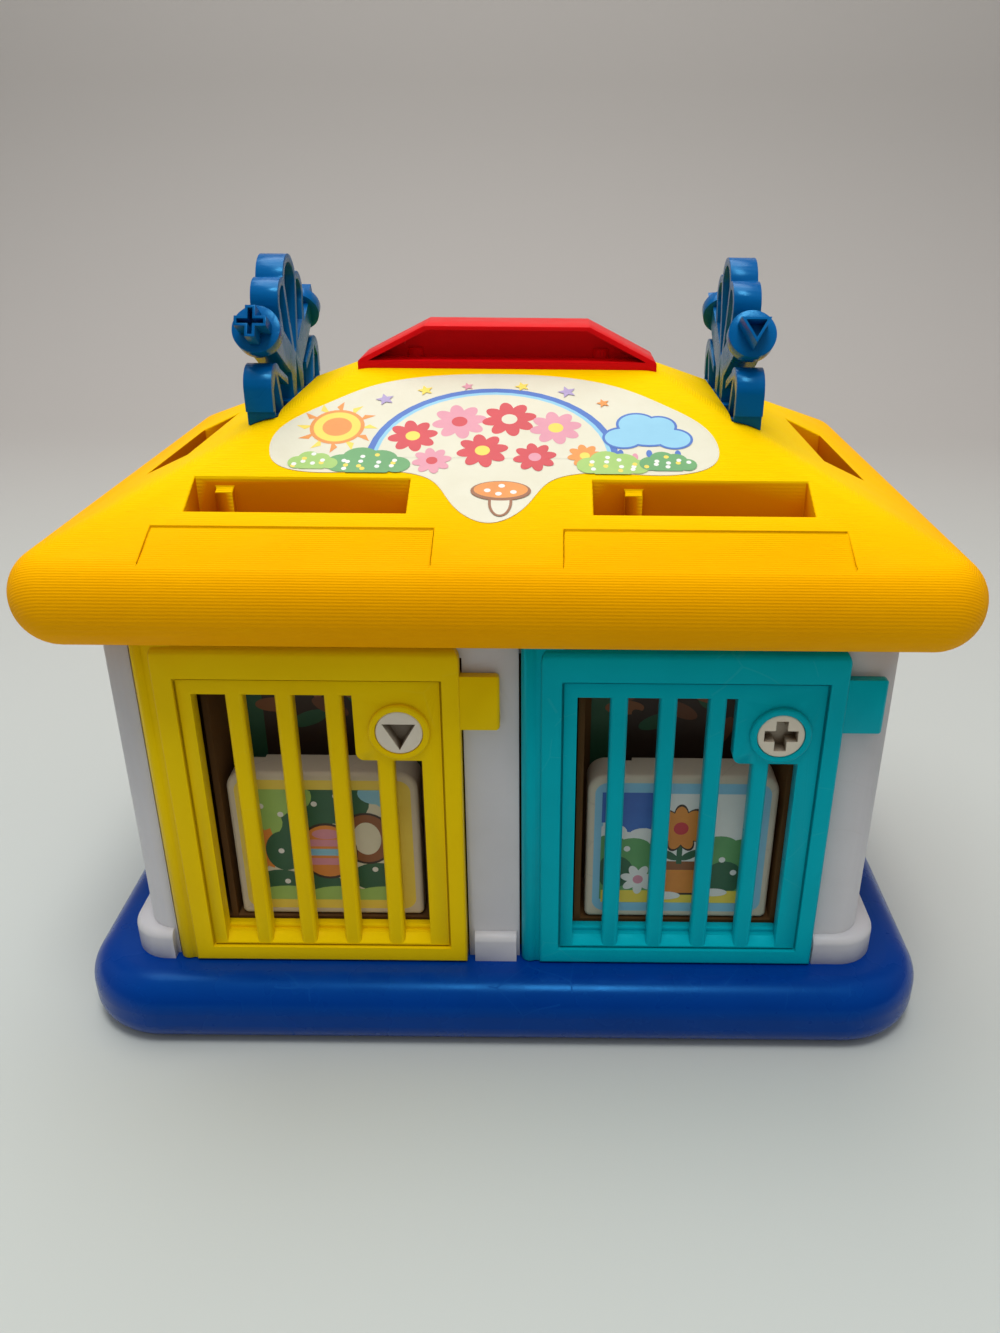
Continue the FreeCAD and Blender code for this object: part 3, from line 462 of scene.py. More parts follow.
# Finishes of the moulded pieces, one set of values each
finishValues = {
    "baseBlue": {
        "colour": (0.0, 0.038, 0.27), "shade": (0.0, 0.027, 0.205), "mark": (0.01, 0.10, 0.40),
        "rough": 0.27, "bump": 0.10, "markStrength": 0.14, "shine": 0.5, "glint": (0.06, 0.45, 1.0)},
    "wallWhite": {
        "colour": (0.62, 0.61, 0.63), "shade": (0.54, 0.53, 0.54), "mark": (0.5, 0.48, 0.47),
        "rough": 0.42, "glow": 0.05, "markStrength": 0.1},
    "coreDark": {
        "colour": (0.12, 0.06, 0.022), "shade": (0.085, 0.042, 0.016), "mark": (0.1, 0.06, 0.04),
        "rough": 0.5, "markStrength": 0.1},
    "roofYellow": {
        "colour": (1.0, 0.445, 0.0), "shade": (0.92, 0.355, 0.0), "mark": (1.0, 0.58, 0.02),
        "rough": 0.6, "bump": 0.08, "amount": 0.35, "shine": 0.05, "markStrength": 0.06,
        # painted shade: deep orange in the slots
        "hollowShadeColour": (0.42, 0.08, 0.0), "hollowShadeReach": 0.018, "hollowShadeStrength": 0.6,
        # painted light: a paler yellow up the slope than on the eave
        "litTop": {"low": 0.158, "high": 0.186, "colour": (0.95, 0.62, 0.0)},
        # painted shade: the straw's slot walls are a deeper orange
        "straw": {"lines": 950.0, "broken": 0.72, "strength": 0.34, "depth": 0.00035,
                  "shallow": 0.35, "deep": 0.75, "stain": 0.26, "inside": (0.86, 0.27, 0.0)}},
    "handleRed": {
        "colour": (0.78, 0.005, 0.008), "shade": (0.68, 0.004, 0.006), "mark": (0.8, 0.15, 0.12),
        "rough": 0.42, "coat": 0.05},
    "doorYellow": {
        "colour": (0.90, 0.62, 0.001), "shade": (0.82, 0.52, 0.0), "mark": (0.92, 0.74, 0.1),
        "rough": 0.38, "markStrength": 0.08},
    "doorTeal": {
        "colour": (0.0, 0.42, 0.51), "shade": (0.0, 0.34, 0.42), "mark": (0.1, 0.55, 0.58),
        "rough": 0.38, "markStrength": 0.08},
    "doorRed": {
        "colour": (0.66, 0.02, 0.02), "shade": (0.5, 0.01, 0.012), "mark": (0.8, 0.2, 0.16),
        "rough": 0.38, "markStrength": 0.08},
    "doorBlue": {
        "colour": (0.01, 0.16, 0.55), "shade": (0.006, 0.11, 0.42), "mark": (0.1, 0.3, 0.66),
        "rough": 0.38, "markStrength": 0.08},
    "lockWhite": {
        "colour": (0.76, 0.69, 0.57), "shade": (0.68, 0.60, 0.47), "mark": (0.5, 0.44, 0.36),
        "rough": 0.4, "markStrength": 0.1,
        # painted shade: brown inside the keyholes
        "hollowShadeColour": (0.13, 0.075, 0.03), "hollowShadeReach": 0.006, "hollowShadeStrength": 1.0},
    "blockWhite": {
        "colour": (0.66, 0.58, 0.45), "shade": (0.58, 0.49, 0.36), "mark": (0.5, 0.44, 0.36),
        "rough": 0.42, "glow": 0.05},
    "keyBlue": {
        "colour": (0.0, 0.105, 0.33), "shade": (0.0, 0.073, 0.26), "mark": (0.05, 0.20, 0.46),
        "rough": 0.24, "shine": 0.5, "glint": (0.12, 0.62, 1.0), "markStrength": 0.12},
}
plastics = {name: mouldedPlastic(name, values) for name, values in finishValues.items()}


# Printing inks: colour and shade of each
paperValues = {"patch": 90.0, "amount": 0.45, "grain": 900.0, "wave": 120.0, "waveShare": 1.5,
               "bump": 0.15, "bumpDepth": 0.0002, "rough": 0.5}
inkValues = {
    "inkCream": ((0.71, 0.675, 0.52), (0.64, 0.59, 0.42)),
    "inkRed": ((0.62, 0.04, 0.05), (0.5, 0.03, 0.04)),
    "inkPink": ((0.72, 0.30, 0.36), (0.6, 0.22, 0.3)),
    "inkOrange": ((0.78, 0.28, 0.04), (0.6, 0.18, 0.03)),
    "inkYellow": ((0.86, 0.66, 0.08), (0.8, 0.54, 0.05)),
    "inkBlue": ((0.05, 0.16, 0.5), (0.04, 0.1, 0.4)),
    "inkSky": ((0.26, 0.56, 0.72), (0.2, 0.46, 0.64)),
    "inkGreen": ((0.13, 0.36, 0.12), (0.08, 0.26, 0.09)),
    "inkLime": ((0.36, 0.56, 0.13), (0.26, 0.46, 0.1)),
    "inkPine": ((0.035, 0.13, 0.06), (0.02, 0.09, 0.04)),
    "inkBrown": ((0.30, 0.11, 0.035), (0.2, 0.07, 0.02)),
    "inkBark": ((0.05, 0.028, 0.016), (0.03, 0.015, 0.01)),
    "inkRust": ((0.20, 0.075, 0.03), (0.13, 0.045, 0.02)),
    "inkDusk": ((0.30, 0.24, 0.17), (0.2, 0.15, 0.1)),
    "inkWhite": ((0.8, 0.79, 0.74), (0.72, 0.7, 0.64)),
    "inkLilac": ((0.42, 0.33, 0.55), (0.34, 0.26, 0.46)),
}


def makePaper(name, colour, shade, values):
    material, tree, shader, coords = newMaterial(name)
    link = tree.links.new
    tint = useGroup(tree, cloudyTint, (-700, 200), coords["Object"], Colour=(*colour, 1), Shade=(*shade, 1),
                    Scale=values["patch"], Amount=values["amount"])
    skin = useGroup(tree, mouldSkin, (-700, -200), coords["Object"], Grain=values["grain"],
                    Wave=values["wave"], WaveShare=values["waveShare"])
    link(tint.outputs["Colour"], shader.inputs["Base Color"])
    bump = addNode(tree, "ShaderNodeBump", (-300, -200),
                   inputs={"Strength": values["bump"], "Distance": values["bumpDepth"]})
    link(skin.outputs["Height"], bump.inputs["Height"])
    link(bump.outputs["Normal"], shader.inputs["Normal"])
    shader.inputs["Roughness"].default_value = values["rough"]
    return material


inks = {name: makePaper(name, *pair, paperValues) for name, pair in inkValues.items()}

steelValues = {"colour": (0.5, 0.5, 0.5), "shade": (0.3, 0.29, 0.27), "patch": 600.0, "amount": 0.7,
               "metal": 1.0, "rough": 0.38}


def makeScrewSteel(values):
    material, tree, shader, coords = newMaterial("screwSteel")
    tint = useGroup(tree, cloudyTint, (-700, 200), coords["Object"], Colour=(*values["colour"], 1),
                    Shade=(*values["shade"], 1), Scale=values["patch"], Amount=values["amount"])
    tree.links.new(tint.outputs["Colour"], shader.inputs["Base Color"])
    shader.inputs["Metallic"].default_value = values["metal"]
    shader.inputs["Roughness"].default_value = values["rough"]
    return material


screwSteel = makeScrewSteel(steelValues)
print("finishes made:", len(plastics) + len(inks) + 1)


# CAD nodes: finish and slightly softened moulded edges, in mm
cageNames = ("front_left", "front_right", "right_side", "left_side")
nodeFinish = {
    "base_tray": "baseBlue", "house_walls": "wallWhite", "cage_core": "coreDark",
    "roof_shell": "roofYellow", "carry_handle": "handleRed",
    "door_front_left": "doorYellow", "door_front_right": "doorTeal",
    "door_right_side": "doorRed", "door_left_side": "doorBlue",
    "key_left": "keyBlue", "key_right": "keyBlue",
}
softEdge = {"roof_shell": 0.48, "house_walls": 0.35, "carry_handle": 0.5, "cage_core": 0.3,
            "key_left": 0.35, "key_right": 0.35}
cardBorder = {"front_left": "inkYellow", "front_right": "inkSky", "right_side": "inkPink",
              "left_side": "inkLime"}
edgeValues = {"weld": 0.000002, "segments": 2, "sharperThan": 38, "unclamped": "roof_shell"}
for cage in cageNames:
    softEdge["door_" + cage] = 0.35
    for piece, finish in (("lock_", "lockWhite"), ("cam_", "lockWhite"),
                          ("block_face_", "blockWhite"), ("block_back_", "blockWhite")):
        nodeFinish[piece + cage] = finish


def softenEdges(name, values):
    node = nodes[name]
    weld = node.modifiers.new("joinFaces", "WELD")
    weld.merge_threshold = values["weld"]
    soft = node.modifiers.new("softEdges", "BEVEL")
    soft.width = softEdge[name] / perMetre
    soft.segments = values["segments"]
    soft.limit_method = "ANGLE"
    soft.angle_limit = radians(values["sharperThan"])
    soft.harden_normals = True
    soft.use_clamp_overlap = name != values["unclamped"]  # short edges would keep its slots sharp
    for face in node.data.polygons:
        face.use_smooth = True


def findFinish(name):
    if name in nodeFinish:
        return plastics[nodeFinish[name]]
    if "screw" in name:
        return screwSteel
    if name.startswith("block_card_"):
        return inks[cardBorder[name.removeprefix("block_card_")]]
    return inks["inkPine" if name.startswith("cage_picture_") else "inkCream"]


for name in nodes:
    nodes[name].data.materials.clear()
    nodes[name].data.materials.append(findFinish(name))
    if name in softEdge:
        softenEdges(name, edgeValues)
print("CAD nodes dressed")


# Printed pictures: flat inked shapes in mm on a plane, stacked in the order they are listed
printValues = {"lift": 0.00003, "step": 0.000001, "sides": 32}
flowerValues = {"start": 12, "reach": 0.58, "petal": (0.46, 0.27), "heart": 0.3, "sides": 20}
bushValues = {
    # across, up and size of each lobe as shares of the bush
    "lobes": ((-0.34, 0.36, 0.34), (-0.1, 0.58, 0.4), (0.16, 0.5, 0.38), (0.38, 0.32, 0.3), (0.0, 0.2, 0.5)),
    "lobeWidth": 0.62, "sides": 24, "dot": 0.75, "dotSides": 10, "spread": 0.84,
    "across": (0.7549, 0.37), "up": (0.5698, 0.21), "low": 0.12, "tall": 0.72, "taper": 1.3,
}


def makePlane(origin, across, upwards):
    u, v = Vector(across).normalized(), Vector(upwards).normalized()
    turn = Matrix((u, v, u.cross(v))).transposed().to_4x4()
    return Matrix.Translation(origin) @ turn


def inkShape(plane, ink, place, size, sides=printValues["sides"], turn=0.0, dent=None, cut=None):
    # size is half the width and height; dent pulls in every other corner, cut flattens the bottom
    bpy.ops.object.select_all(action="DESELECT")
    bpy.ops.mesh.primitive_circle_add(vertices=sides, radius=1, fill_type="NGON")
    shape = bpy.context.object
    if sides == 4:
        shape.data.transform(Matrix.Scale(2 ** 0.5, 4) @ Matrix.Rotation(pi / 4, 4, "Z"))
    for i, corner in enumerate(shape.data.vertices):
        if dent is not None and i % 2:
            corner.co *= dent
        if cut is not None:
            corner.co.y = max(corner.co.y, cut)
    spot = Matrix.Translation((place[0] / perMetre, place[1] / perMetre, 0))
    stretch = Matrix.Diagonal((size[0] / perMetre, size[1] / perMetre, 1, 1))
    shape.matrix_world = plane @ spot @ Matrix.Rotation(radians(turn), 4, "Z") @ stretch
    bpy.ops.object.transform_apply(location=True, rotation=True, scale=True)
    shape.data.materials.append(inks[ink])
    return shape


def drawRows(plane, rows, theme=None):
    # a row is an ink or a key of the theme, the corners, the size (wide, high, dent), and the
    # places (across, up, turn)
    shapes = []
    for ink, sides, (wide, high, *dent), *places in rows:
        if theme:
            ink = theme.get(ink, ink)
        for x, y, *turn in places:
            shapes.append(inkShape(plane, ink, (x, y), (wide, high), sides, *(turn or [0.0]), *dent))
    return shapes


def inkFlower(plane, place, radius, petals, petalInk, heartInk, values=flowerValues):
    shapes = []
    wide, high = values["petal"]
    for i in range(petals):
        angle = 360 / petals * i + values["start"]
        spot = (place[0] + values["reach"] * radius * cos(radians(angle)),
                place[1] + values["reach"] * radius * sin(radians(angle)))
        shapes.append(inkShape(plane, petalInk, spot, (wide * radius, high * radius), values["sides"], angle))
    heart = values["heart"] * radius
    shapes.append(inkShape(plane, heartInk, place, (heart, heart), values["sides"]))
    return shapes


def inkBush(plane, place, width, height, ink, dots, seed, values=bushValues):
    shapes = []
    for share, lift, size in values["lobes"]:
        spot = (place[0] + share * width, place[1] + lift * height)
        lobe = (size * width * values["lobeWidth"], size * height)
        shapes.append(inkShape(plane, ink, spot, lobe, values["sides"], cut=-lift / size))
    for i in range(dots):
        spread = ((i * values["across"][0] + seed * values["across"][1]) % 1 - 0.5) * values["spread"]
        rise = (i * values["up"][0] + seed * values["up"][1]) % 1
        rise = values["low"] + values["tall"] * rise * (1 - values["taper"] * abs(spread))
        spot = (place[0] + spread * width, place[1] + rise * height)
        dotInk = "inkWhite" if i % 3 else "inkYellow"
        shapes.append(inkShape(plane, dotInk, spot, (values["dot"], values["dot"]), values["dotSides"]))
    return shapes


def joinShapes(shapes, plane, name, body):
    normal = plane.to_3x3() @ Vector((0, 0, 1))
    for i, shape in enumerate(shapes):
        shape.data.transform(Matrix.Translation(normal * (printValues["lift"] + i * printValues["step"])))
    bpy.ops.object.select_all(action="DESELECT")
    for shape in shapes:
        shape.select_set(True)
    bpy.context.view_layer.objects.active = shapes[0]
    bpy.ops.object.join()
    piece = bpy.context.object
    piece.name = name
    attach(piece, body)


# Roof picture: a sun, flowers under a bow, a cloud, bushes and a toadstool
roofPicture = {
    "ridgeUp": 203.5, "ridgeOut": 8.0, "eaveUp": 162.6, "eaveOut": 97.1, "filmThick": 0.0002,
    "left": -3, "out": 40.0,
    "sun": {"place": (-47, 2), "rays": 12, "reach": 9.6, "ray": (3.1, 1.3)},
    "discs": (("inkOrange", 32, (8.2, 8.2), (-47, 2)), ("inkYellow", 32, (7.0, 7.0), (-47, 2)),
              ("inkOrange", 32, (4.4, 4.4), (-47, 2))),
    "bow": {"place": (0, -12), "size": (37, 33.8), "sides": 48,
            "bands": (("inkBlue", 0), ("inkSky", -2.0), ("inkCream", -3.2))},
    "petals": 8,
    "flowers": ((-24, -2, 7.2, "inkRed", "inkYellow"), (-10.5, 5.0, 8.0, "inkPink", "inkRed"),
                (4.5, 6.4, 8.0, "inkRed", "inkCream"), (18.5, 2.4, 7.6, "inkPink", "inkYellow"),
                (-3, -8.6, 7.4, "inkRed", "inkYellow"), (-17.5, -13.4, 5.6, "inkPink", "inkRed"),
                (12.4, -11.4, 6.2, "inkRed", "inkPink"), (27.0, -10.6, 5.0, "inkOrange", "inkYellow")),
    "puffs": ((46, 0, 8.5, 5.4), (38.5, -2.2, 5.4, 4.4), (53.5, -2.4, 5.0, 4.2), (43, 4.2, 5.6, 5.0),
              (49.6, 3.6, 4.6, 4.2)),
    "cloudLine": (("inkBlue", 0.8), ("inkSky", 0.0)),
    "drops": {"count": 5, "place": (37.5, -9.4), "step": 4.2, "lower": 1.6, "size": (0.9, 1.7), "sides": 12},
    "bushes": (((-36, -19.0), 22, 11.5, "inkGreen", 14, 1), ((-52, -17.6), 13, 8.0, "inkLime", 8, 2),
               ((35, -18.8), 19, 10.5, "inkLime", 12, 3), ((51, -17.2), 15, 8.8, "inkGreen", 9, 4)),
    "toadstool": (("inkBrown", 32, (3.4, 6.0), (3, -31.2)), ("inkCream", 32, (2.6, 5.3), (3, -31.2)),
                  ("inkBrown", 32, (8.6, 4.2), (3, -26.5)), ("inkOrange", 32, (7.7, 3.5), (3, -26.0)),
                  ("inkWhite", 14, (0.95, 0.8), (-0.8, -26.4), (3.2, -24.4), (6.6, -27.0), (2.4, -27.8))),
    "stars": (("inkLilac", 10, (3.0, 3.0, 0.45), (-34, 15.6, 18)),
              ("inkYellow", 10, (2.6, 2.6, 0.45), (-22, 20.4, 18)),
              ("inkPink", 10, (2.0, 2.0, 0.45), (-9, 22.6, 18)),
              ("inkYellow", 10, (2.4, 2.4, 0.45), (8, 22.8, 18)),
              ("inkLilac", 10, (3.0, 3.0, 0.45), (22, 20.2, 18)),
              ("inkOrange", 10, (2.2, 2.2, 0.45), (33, 14.6, 18))),
}


def slopePlane(values):
    # the plane's v runs up the roof's front slope from the middle of the film
    slope = atan((values["ridgeUp"] - values["eaveUp"]) / (values["eaveOut"] - values["ridgeOut"]))
    height = values["eaveUp"] + (values["eaveOut"] - values["out"]) * tan(slope)
    normal = Vector((0, -sin(slope), cos(slope)))
    middle = Vector((values["left"] / perMetre, -values["out"] / perMetre, height / perMetre))
    return makePlane(middle + normal * values["filmThick"], (1, 0, 0), (0, cos(slope), sin(slope)))


def drawSun(plane, values):
    x, y = values["place"]
    shapes = []
    for i in range(values["rays"]):
        angle = 360 / values["rays"] * i
        spot = (x + values["reach"] * cos(radians(angle)), y + values["reach"] * sin(radians(angle)))
        ink = "inkOrange" if i % 2 else "inkYellow"
        shapes.append(inkShape(plane, ink, spot, values["ray"], 3, angle))
    return shapes


def drawBow(plane, values):
    wide, high = values["size"]
    return [inkShape(plane, ink, values["place"], (wide + grow, high + grow), values["sides"], cut=0.0)
            for ink, grow in values["bands"]]


def drawCloud(plane, values):
    shapes = [inkShape(plane, ink, (x, y), (wide + grow, high + grow))
              for ink, grow in values["cloudLine"] for x, y, wide, high in values["puffs"]]
    drops = values["drops"]
    x, y = drops["place"]
    for i in range(drops["count"]):
        spot = (x + drops["step"] * i, y - drops["lower"] * (i % 2))
        ink = "inkPink" if i % 2 else "inkBlue"
        shapes.append(inkShape(plane, ink, spot, drops["size"], drops["sides"]))
    return shapes


def printRoofPicture(values):
    plane = slopePlane(values)
    shapes = drawSun(plane, values["sun"]) + drawRows(plane, values["discs"])
    shapes += drawBow(plane, values["bow"])
    for x, y, radius, petalInk, heartInk in values["flowers"]:
        shapes += inkFlower(plane, (x, y), radius, values["petals"], petalInk, heartInk)
    shapes += drawCloud(plane, values)
    for bush in values["bushes"]:
        shapes += inkBush(plane, *bush)
    shapes += drawRows(plane, values["toadstool"]) + drawRows(plane, values["stars"])
    joinShapes(shapes, plane, "roofPrint", "house")


printRoofPicture(roofPicture)
print("roof picture printed")


# Cages in mm: how far each wall is turned and out from the middle, where its opening starts, and
# how far on from there its block starts
cageFrames = {
    "front_left": {"turn": 0, "out": 78.0, "left": -107.0, "block": 19.3},
    "front_right": {"turn": 0, "out": 78.0, "left": 5.8, "block": 20.3},
    "right_side": {"turn": 90, "out": 118.0, "left": -47.6, "block": 16.8},
    "left_side": {"turn": -90, "out": 118.0, "left": -47.6, "block": 16.8},
}
blockHalf = 30.8  # from a block's left side to its middle line


def blockPlane(cage, depth, height):
    # upright, facing out of the cage, on the middle line of its block
    place = cageFrames[cage]
    spin = Matrix.Rotation(radians(place["turn"]), 4, "Z")
    across = place["left"] + (place["block"] + blockHalf)
    spot = Vector((across / perMetre, (depth - place["out"]) / perMetre, height / perMetre))
    return makePlane(spin @ spot, spin @ Vector((1, 0, 0)), (0, 0, 1))


# Block cards; nothing is printed past the panel, so the card's own colour is the border
cardValues = {"middle": -2.3, "halfWide": 23.2, "halfHigh": 21.3, "depth": 6.1, "height": 61.95}
cardThemes = {
    "front_left": {"drawing": "garden", "leaf": "inkLime", "ball": "inkOrange", "stripe": "inkPink",
                   "band": "inkSky"},
    "front_right": {"drawing": "meadow", "sky": "inkBlue", "bush": "inkGreen", "pot": "inkOrange",
                    "bloom": "inkRed", "ground": "inkYellow"},
    "right_side": {"drawing": "meadow", "sky": "inkSky", "bush": "inkPine", "pot": "inkRed",
                   "bloom": "inkYellow", "ground": "inkLime"},
    "left_side": {"drawing": "garden", "leaf": "inkGreen", "ball": "inkLilac", "stripe": "inkYellow",
                  "band": "inkBlue"},
}
# scalloped bushes round a striped ball and a hoop
gardenRows = (
    ("inkCream", 4, (23, 21), (-2, 0)),
    ("inkPine", 24, (9.6, 8.6), (-5, 14), (5, 17), (-14, 6)),
    ("leaf", 24, (8.4, 6.6), (-19, 16), (-22, 9), (-12, 19)),
    ("inkSky", 20, (6, 4), (17, 20), (22, 18)),
    ("inkWhite", 10, (1.0, 1.0), (-20, 15), (-14, 12), (-3, 16), (-7, 10), (4, 19)),
    ("ball", 28, (7.4, 8.6, 0.82), (-21, -1)),
    ("inkPine", 32, (6.0, 7.6), (-14, -2)),
    ("inkPine", 24, (9.0, 5.6), (-16, -15), (16, -12), (20, -14), (-4, -16)),
    ("leaf", 24, (11.0, 4.2), (-14, -20), (3, -20), (18, -20)),
    ("inkWhite", 10, (1.0, 1.0), (-15, -2), (-14, -14), (15, -9), (20, -13)),
    ("inkBark", 32, (8.9, 9.9), (13, 3)),
    ("inkBrown", 32, (8.1, 9.1), (13, 3)),
    ("inkCream", 32, (4.6, 6.2), (13, 3)),
    ("inkBark", 32, (9.7, 9.7 * 1.12), (0, -2)),
    ("ball", 32, (8.9, 8.9 * 1.12), (0, -2)),
    ("stripe", 4, (7.6, 1.3), (0, -6.0)),
    ("band", 4, (8.6, 1.3), (0, -2.4)),
    ("stripe", 4, (8.6, 1.3), (0, 1.2)),
    ("inkPink", 32, (4.6, 1.9), (0, 4.6)),
)
# a cloud, bushes and a pot, then its flower, a daisy and two pebbles
meadowRows = (
    ("inkWhite", 4, (23, 21), (-2, 0)),
    ("sky", 4, (11, 6), (-15, 16)),
    ("sky", 20, (5.6, 3.6), (-16, 10), (-8, 11)),
    ("inkWhite", 20, (4.8, 3.0), (-22, 6.6), (-3, 7.6), (-12, 5)),
    ("bush", 4, (9.5, 11), (-19, -9)),
    ("bush", 20, (5.6, 3.2), (-23, 2), (-15, 1)),
    ("bush", 4, (9.5, 11), (17, -9)),
    ("bush", 20, (5.6, 3.2), (13, 2), (21, 1)),
    ("inkPine", 20, (6.4, 6.4), (-21, -9), (15, -11)),
    ("inkWhite", 10, (1.1, 1.1), (-22, -6), (14, -4), (18, -9), (21, 0), (-17, 0)),
    ("ground", 4, (23, 2.6), (-2, -19)),
    ("inkBark", 4, (6.8, 6.6), (0, -11.5)),
    ("pot", 4, (6.0, 5.8), (0, -11.5)),
    ("inkBrown", 4, (8.0, 1.7), (0, -6.4)),
    ("inkPine", 4, (0.9, 4.2), (0, -1.5)),
    ("inkPine", 20, (3.6, 1.4), (-3.6, -2.2, 150), (3.6, -2.2, 30)),
)
meadowFlowers = (((0, 8), 8.8, 9, "inkBark", "inkBark"), ((0, 8), 8.0, 9, "pot", "bloom"),
                 ((-13, -12), 5.6, 7, "inkWhite", "inkPink"))
meadowPebbles = (("inkWhite", 20, (4.6, 1.6), (12, -17), (-3.4, -18.4)),)


def drawMeadow(plane, theme):
    shapes = drawRows(plane, meadowRows, theme)
    for place, radius, petals, petalInk, heartInk in meadowFlowers:
        shapes += inkFlower(plane, place, radius, petals, theme.get(petalInk, petalInk),
                            theme.get(heartInk, heartInk))
    return shapes + drawRows(plane, meadowPebbles, theme)


def clipShapes(shapes, plane, panel):
    back = plane.inverted()
    left, right = panel["middle"] - panel["halfWide"], panel["middle"] + panel["halfWide"]
    for shape in shapes:
        for corner in shape.data.vertices:
            spot = (back @ corner.co) * perMetre
            spot.x = min(max(spot.x, left), right)
            spot.y = min(max(spot.y, -panel["halfHigh"]), panel["halfHigh"])
            corner.co = plane @ (spot / perMetre)


def printCard(cage, values):
    theme = cardThemes[cage]
    plane = blockPlane(cage, values["depth"], values["height"])
    if theme["drawing"] == "garden":
        shapes = drawRows(plane, gardenRows, theme)
    else:
        shapes = drawMeadow(plane, theme)
    clipShapes(shapes, plane, values)
    joinShapes(shapes, plane, "cardPrint_" + cage, "block_" + cage)


# Dim picture on the back of each cage: fallen leaves under a row of buds
backPicture = {
    "depth": 27.8, "height": 94.0, "panel": (22, 19), "panelUp": 6, "sides": 20,
    "leaves": 11, "leaf": (6.4, 2.6), "leafLeft": -18, "leafStep": 3.6, "leafUp": 8, "leafSway": 9,
    "leafTurn": 67, "leafBeat": 1.9, "leafInks": ("inkBrown", "inkRust", "inkBark", "inkPine"),
    "buds": 6, "budLeft": -16, "budStep": 6.4, "budUp": 20, "budDip": 4, "budRim": 3.6, "bud": 2.5,
}


def printCageBack(cage, values):
    plane = blockPlane(cage, values["depth"], values["height"])
    shapes = [inkShape(plane, "inkBark", (0, values["panelUp"]), values["panel"], 4)]
    for i in range(values["leaves"]):
        ink = values["leafInks"][i % len(values["leafInks"])]
        spot = (values["leafLeft"] + values["leafStep"] * i,
                values["leafUp"] + values["leafSway"] * sin(i * values["leafBeat"]))
        angle = (i * values["leafTurn"]) % 180
        shapes.append(inkShape(plane, ink, spot, values["leaf"], values["sides"], angle))
    for i in range(values["buds"]):
        spot = (values["budLeft"] + values["budStep"] * i, values["budUp"] - values["budDip"] * (i % 2))
        budInk = "inkRust" if i % 2 else "inkDusk"
        for ink, radius in (("inkBark", values["budRim"]), (budInk, values["bud"])):
            shapes.append(inkShape(plane, ink, spot, (radius, radius), values["sides"]))
    joinShapes(shapes, plane, "cagePrint_" + cage, "house")


for cage in cageNames:
    printCard(cage, cardValues)
    printCageBack(cage, backPicture)
print("cards and cage pictures printed")


# Ledge inside each door, level with the cage floor
ledgeValues = {"from": 10.9, "to": 84.3, "front": 1.7, "back": 5.0, "low": 27.5, "high": 34.0,
               "round": 0.9, "segments": 3}


def makeLedge(cage, values):
    place = cageFrames[cage]
    left, out = place["left"], place["out"]
    low = Vector((left + values["from"], values["front"] - out, values["low"])) / perMetre
    high = Vector((left + values["to"], values["back"] - out, values["high"])) / perMetre
    bpy.ops.object.select_all(action="DESELECT")
    bpy.ops.mesh.primitive_cube_add(size=1, location=(low + high) / 2, scale=high - low)
    ledge = bpy.context.object
    ledge.name = "doorLedge_" + cage
    bpy.ops.object.transform_apply(location=True, rotation=True, scale=True)
    for edge in ledge.data.edges:
        edge.select = all(abs(ledge.data.vertices[i].co.z - high.z) < 1e-6 for i in edge.vertices)
    bpy.ops.object.mode_set(mode="EDIT")
    bpy.ops.mesh.select_mode(type="EDGE")
    bpy.ops.mesh.bevel(offset=values["round"] / perMetre, segments=values["segments"])
    bpy.ops.object.mode_set(mode="OBJECT")
    ledge.rotation_euler = (0, 0, radians(place["turn"]))
    ledge.location = (0, 0, 0)
    bpy.ops.object.transform_apply(location=True, rotation=True, scale=True)
    ledge.data.materials.append(plastics[nodeFinish["door_" + cage]])
    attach(ledge, "door_" + cage)


for cage in cageNames:
    makeLedge(cage, ledgeValues)
print("door ledges made")


# Floor that runs up into a plain backdrop, in metres
floorValues = {
    "size": (6, 2.6), "centre": -0.55, "bend": 0.35, "steps": 10, "wall": 3.0,
    "near": (0.53, 0.56, 0.53), "nearAt": -0.2, "far": (0.49, 0.46, 0.43), "farAt": 0.9, "rough": 0.8,
}


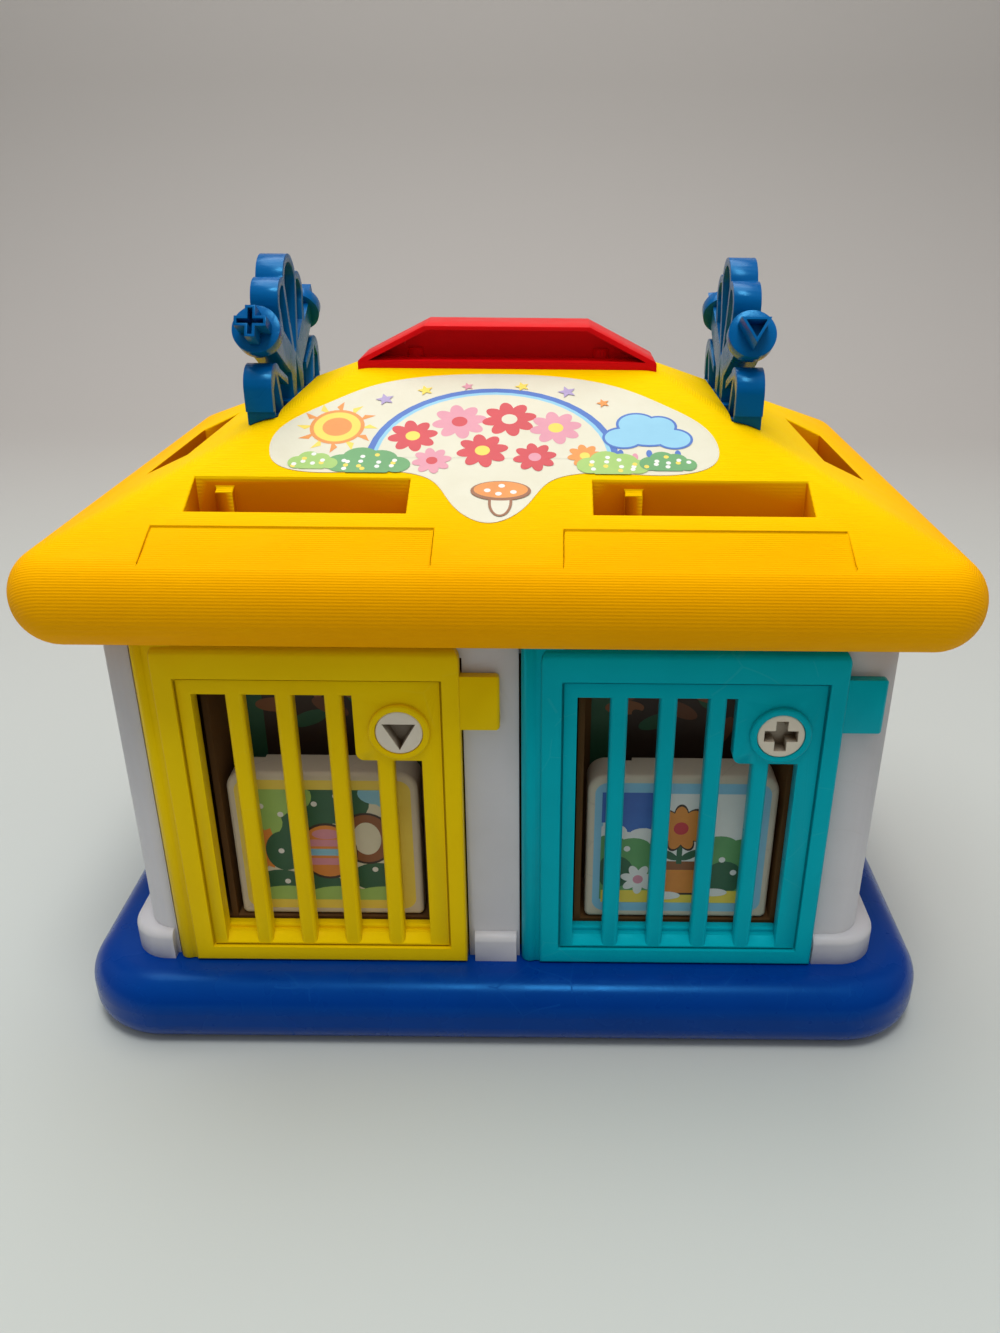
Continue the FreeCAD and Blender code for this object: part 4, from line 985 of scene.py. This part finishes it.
def shapeFloor(values):
    width, length = values["size"]
    bpy.ops.object.select_all(action="DESELECT")
    bpy.ops.mesh.primitive_plane_add(size=1, location=(0, 0, 0))
    floor = bpy.context.object
    floor.name = "floor"
    floor.scale = (width, length, 1)
    floor.location = (0, values["centre"], 0)
    bpy.ops.object.transform_apply(location=True, rotation=True, scale=True)
    bpy.ops.object.mode_set(mode="EDIT")
    bpy.ops.mesh.select_mode(type="EDGE")
    bpy.ops.mesh.select_all(action="DESELECT")
    bpy.ops.object.mode_set(mode="OBJECT")
    backEdge = values["centre"] + length / 2
    for edge in floor.data.edges:
        edge.select = all(abs(floor.data.vertices[i].co.y - backEdge) < 1e-3 for i in edge.vertices)
    bpy.ops.object.mode_set(mode="EDIT")
    bend = values["bend"]
    for i in range(values["steps"]):
        start, end = pi / 2 * i / values["steps"], pi / 2 * (i + 1) / values["steps"]
        step = (0, bend * (sin(end) - sin(start)), bend * (cos(start) - cos(end)))
        bpy.ops.mesh.extrude_edges_move(TRANSFORM_OT_translate={"value": step})
    bpy.ops.mesh.extrude_edges_move(TRANSFORM_OT_translate={"value": (0, 0, values["wall"])})
    bpy.ops.object.mode_set(mode="OBJECT")
    for face in floor.data.polygons:
        face.use_smooth = True
    return floor


def floorFinish(values):
    # one colour near the object and another on the backdrop
    material, tree, shader, coords = newMaterial("paleFloor")
    link = tree.links.new
    split = addNode(tree, "ShaderNodeSeparateXYZ", (-1000, 0))
    spread = addNode(tree, "ShaderNodeMapRange", (-600, 0), interpolation_type="SMOOTHSTEP",
                     inputs={"From Min": values["nearAt"], "From Max": values["farAt"]})
    link(coords["Object"], split.inputs[0])
    link(addMath(tree, (-800, 0), "ADD", split.outputs["Y"], split.outputs["Z"]), spread.inputs["Value"])
    colour = mixColour(tree, (-300, 0), spread.outputs["Result"], values["near"], values["far"])
    link(colour, shader.inputs["Base Color"])
    shader.inputs["Roughness"].default_value = values["rough"]
    return material


floor = shapeFloor(floorValues)
floor.data.materials.append(floorFinish(floorValues))
print("floor made")
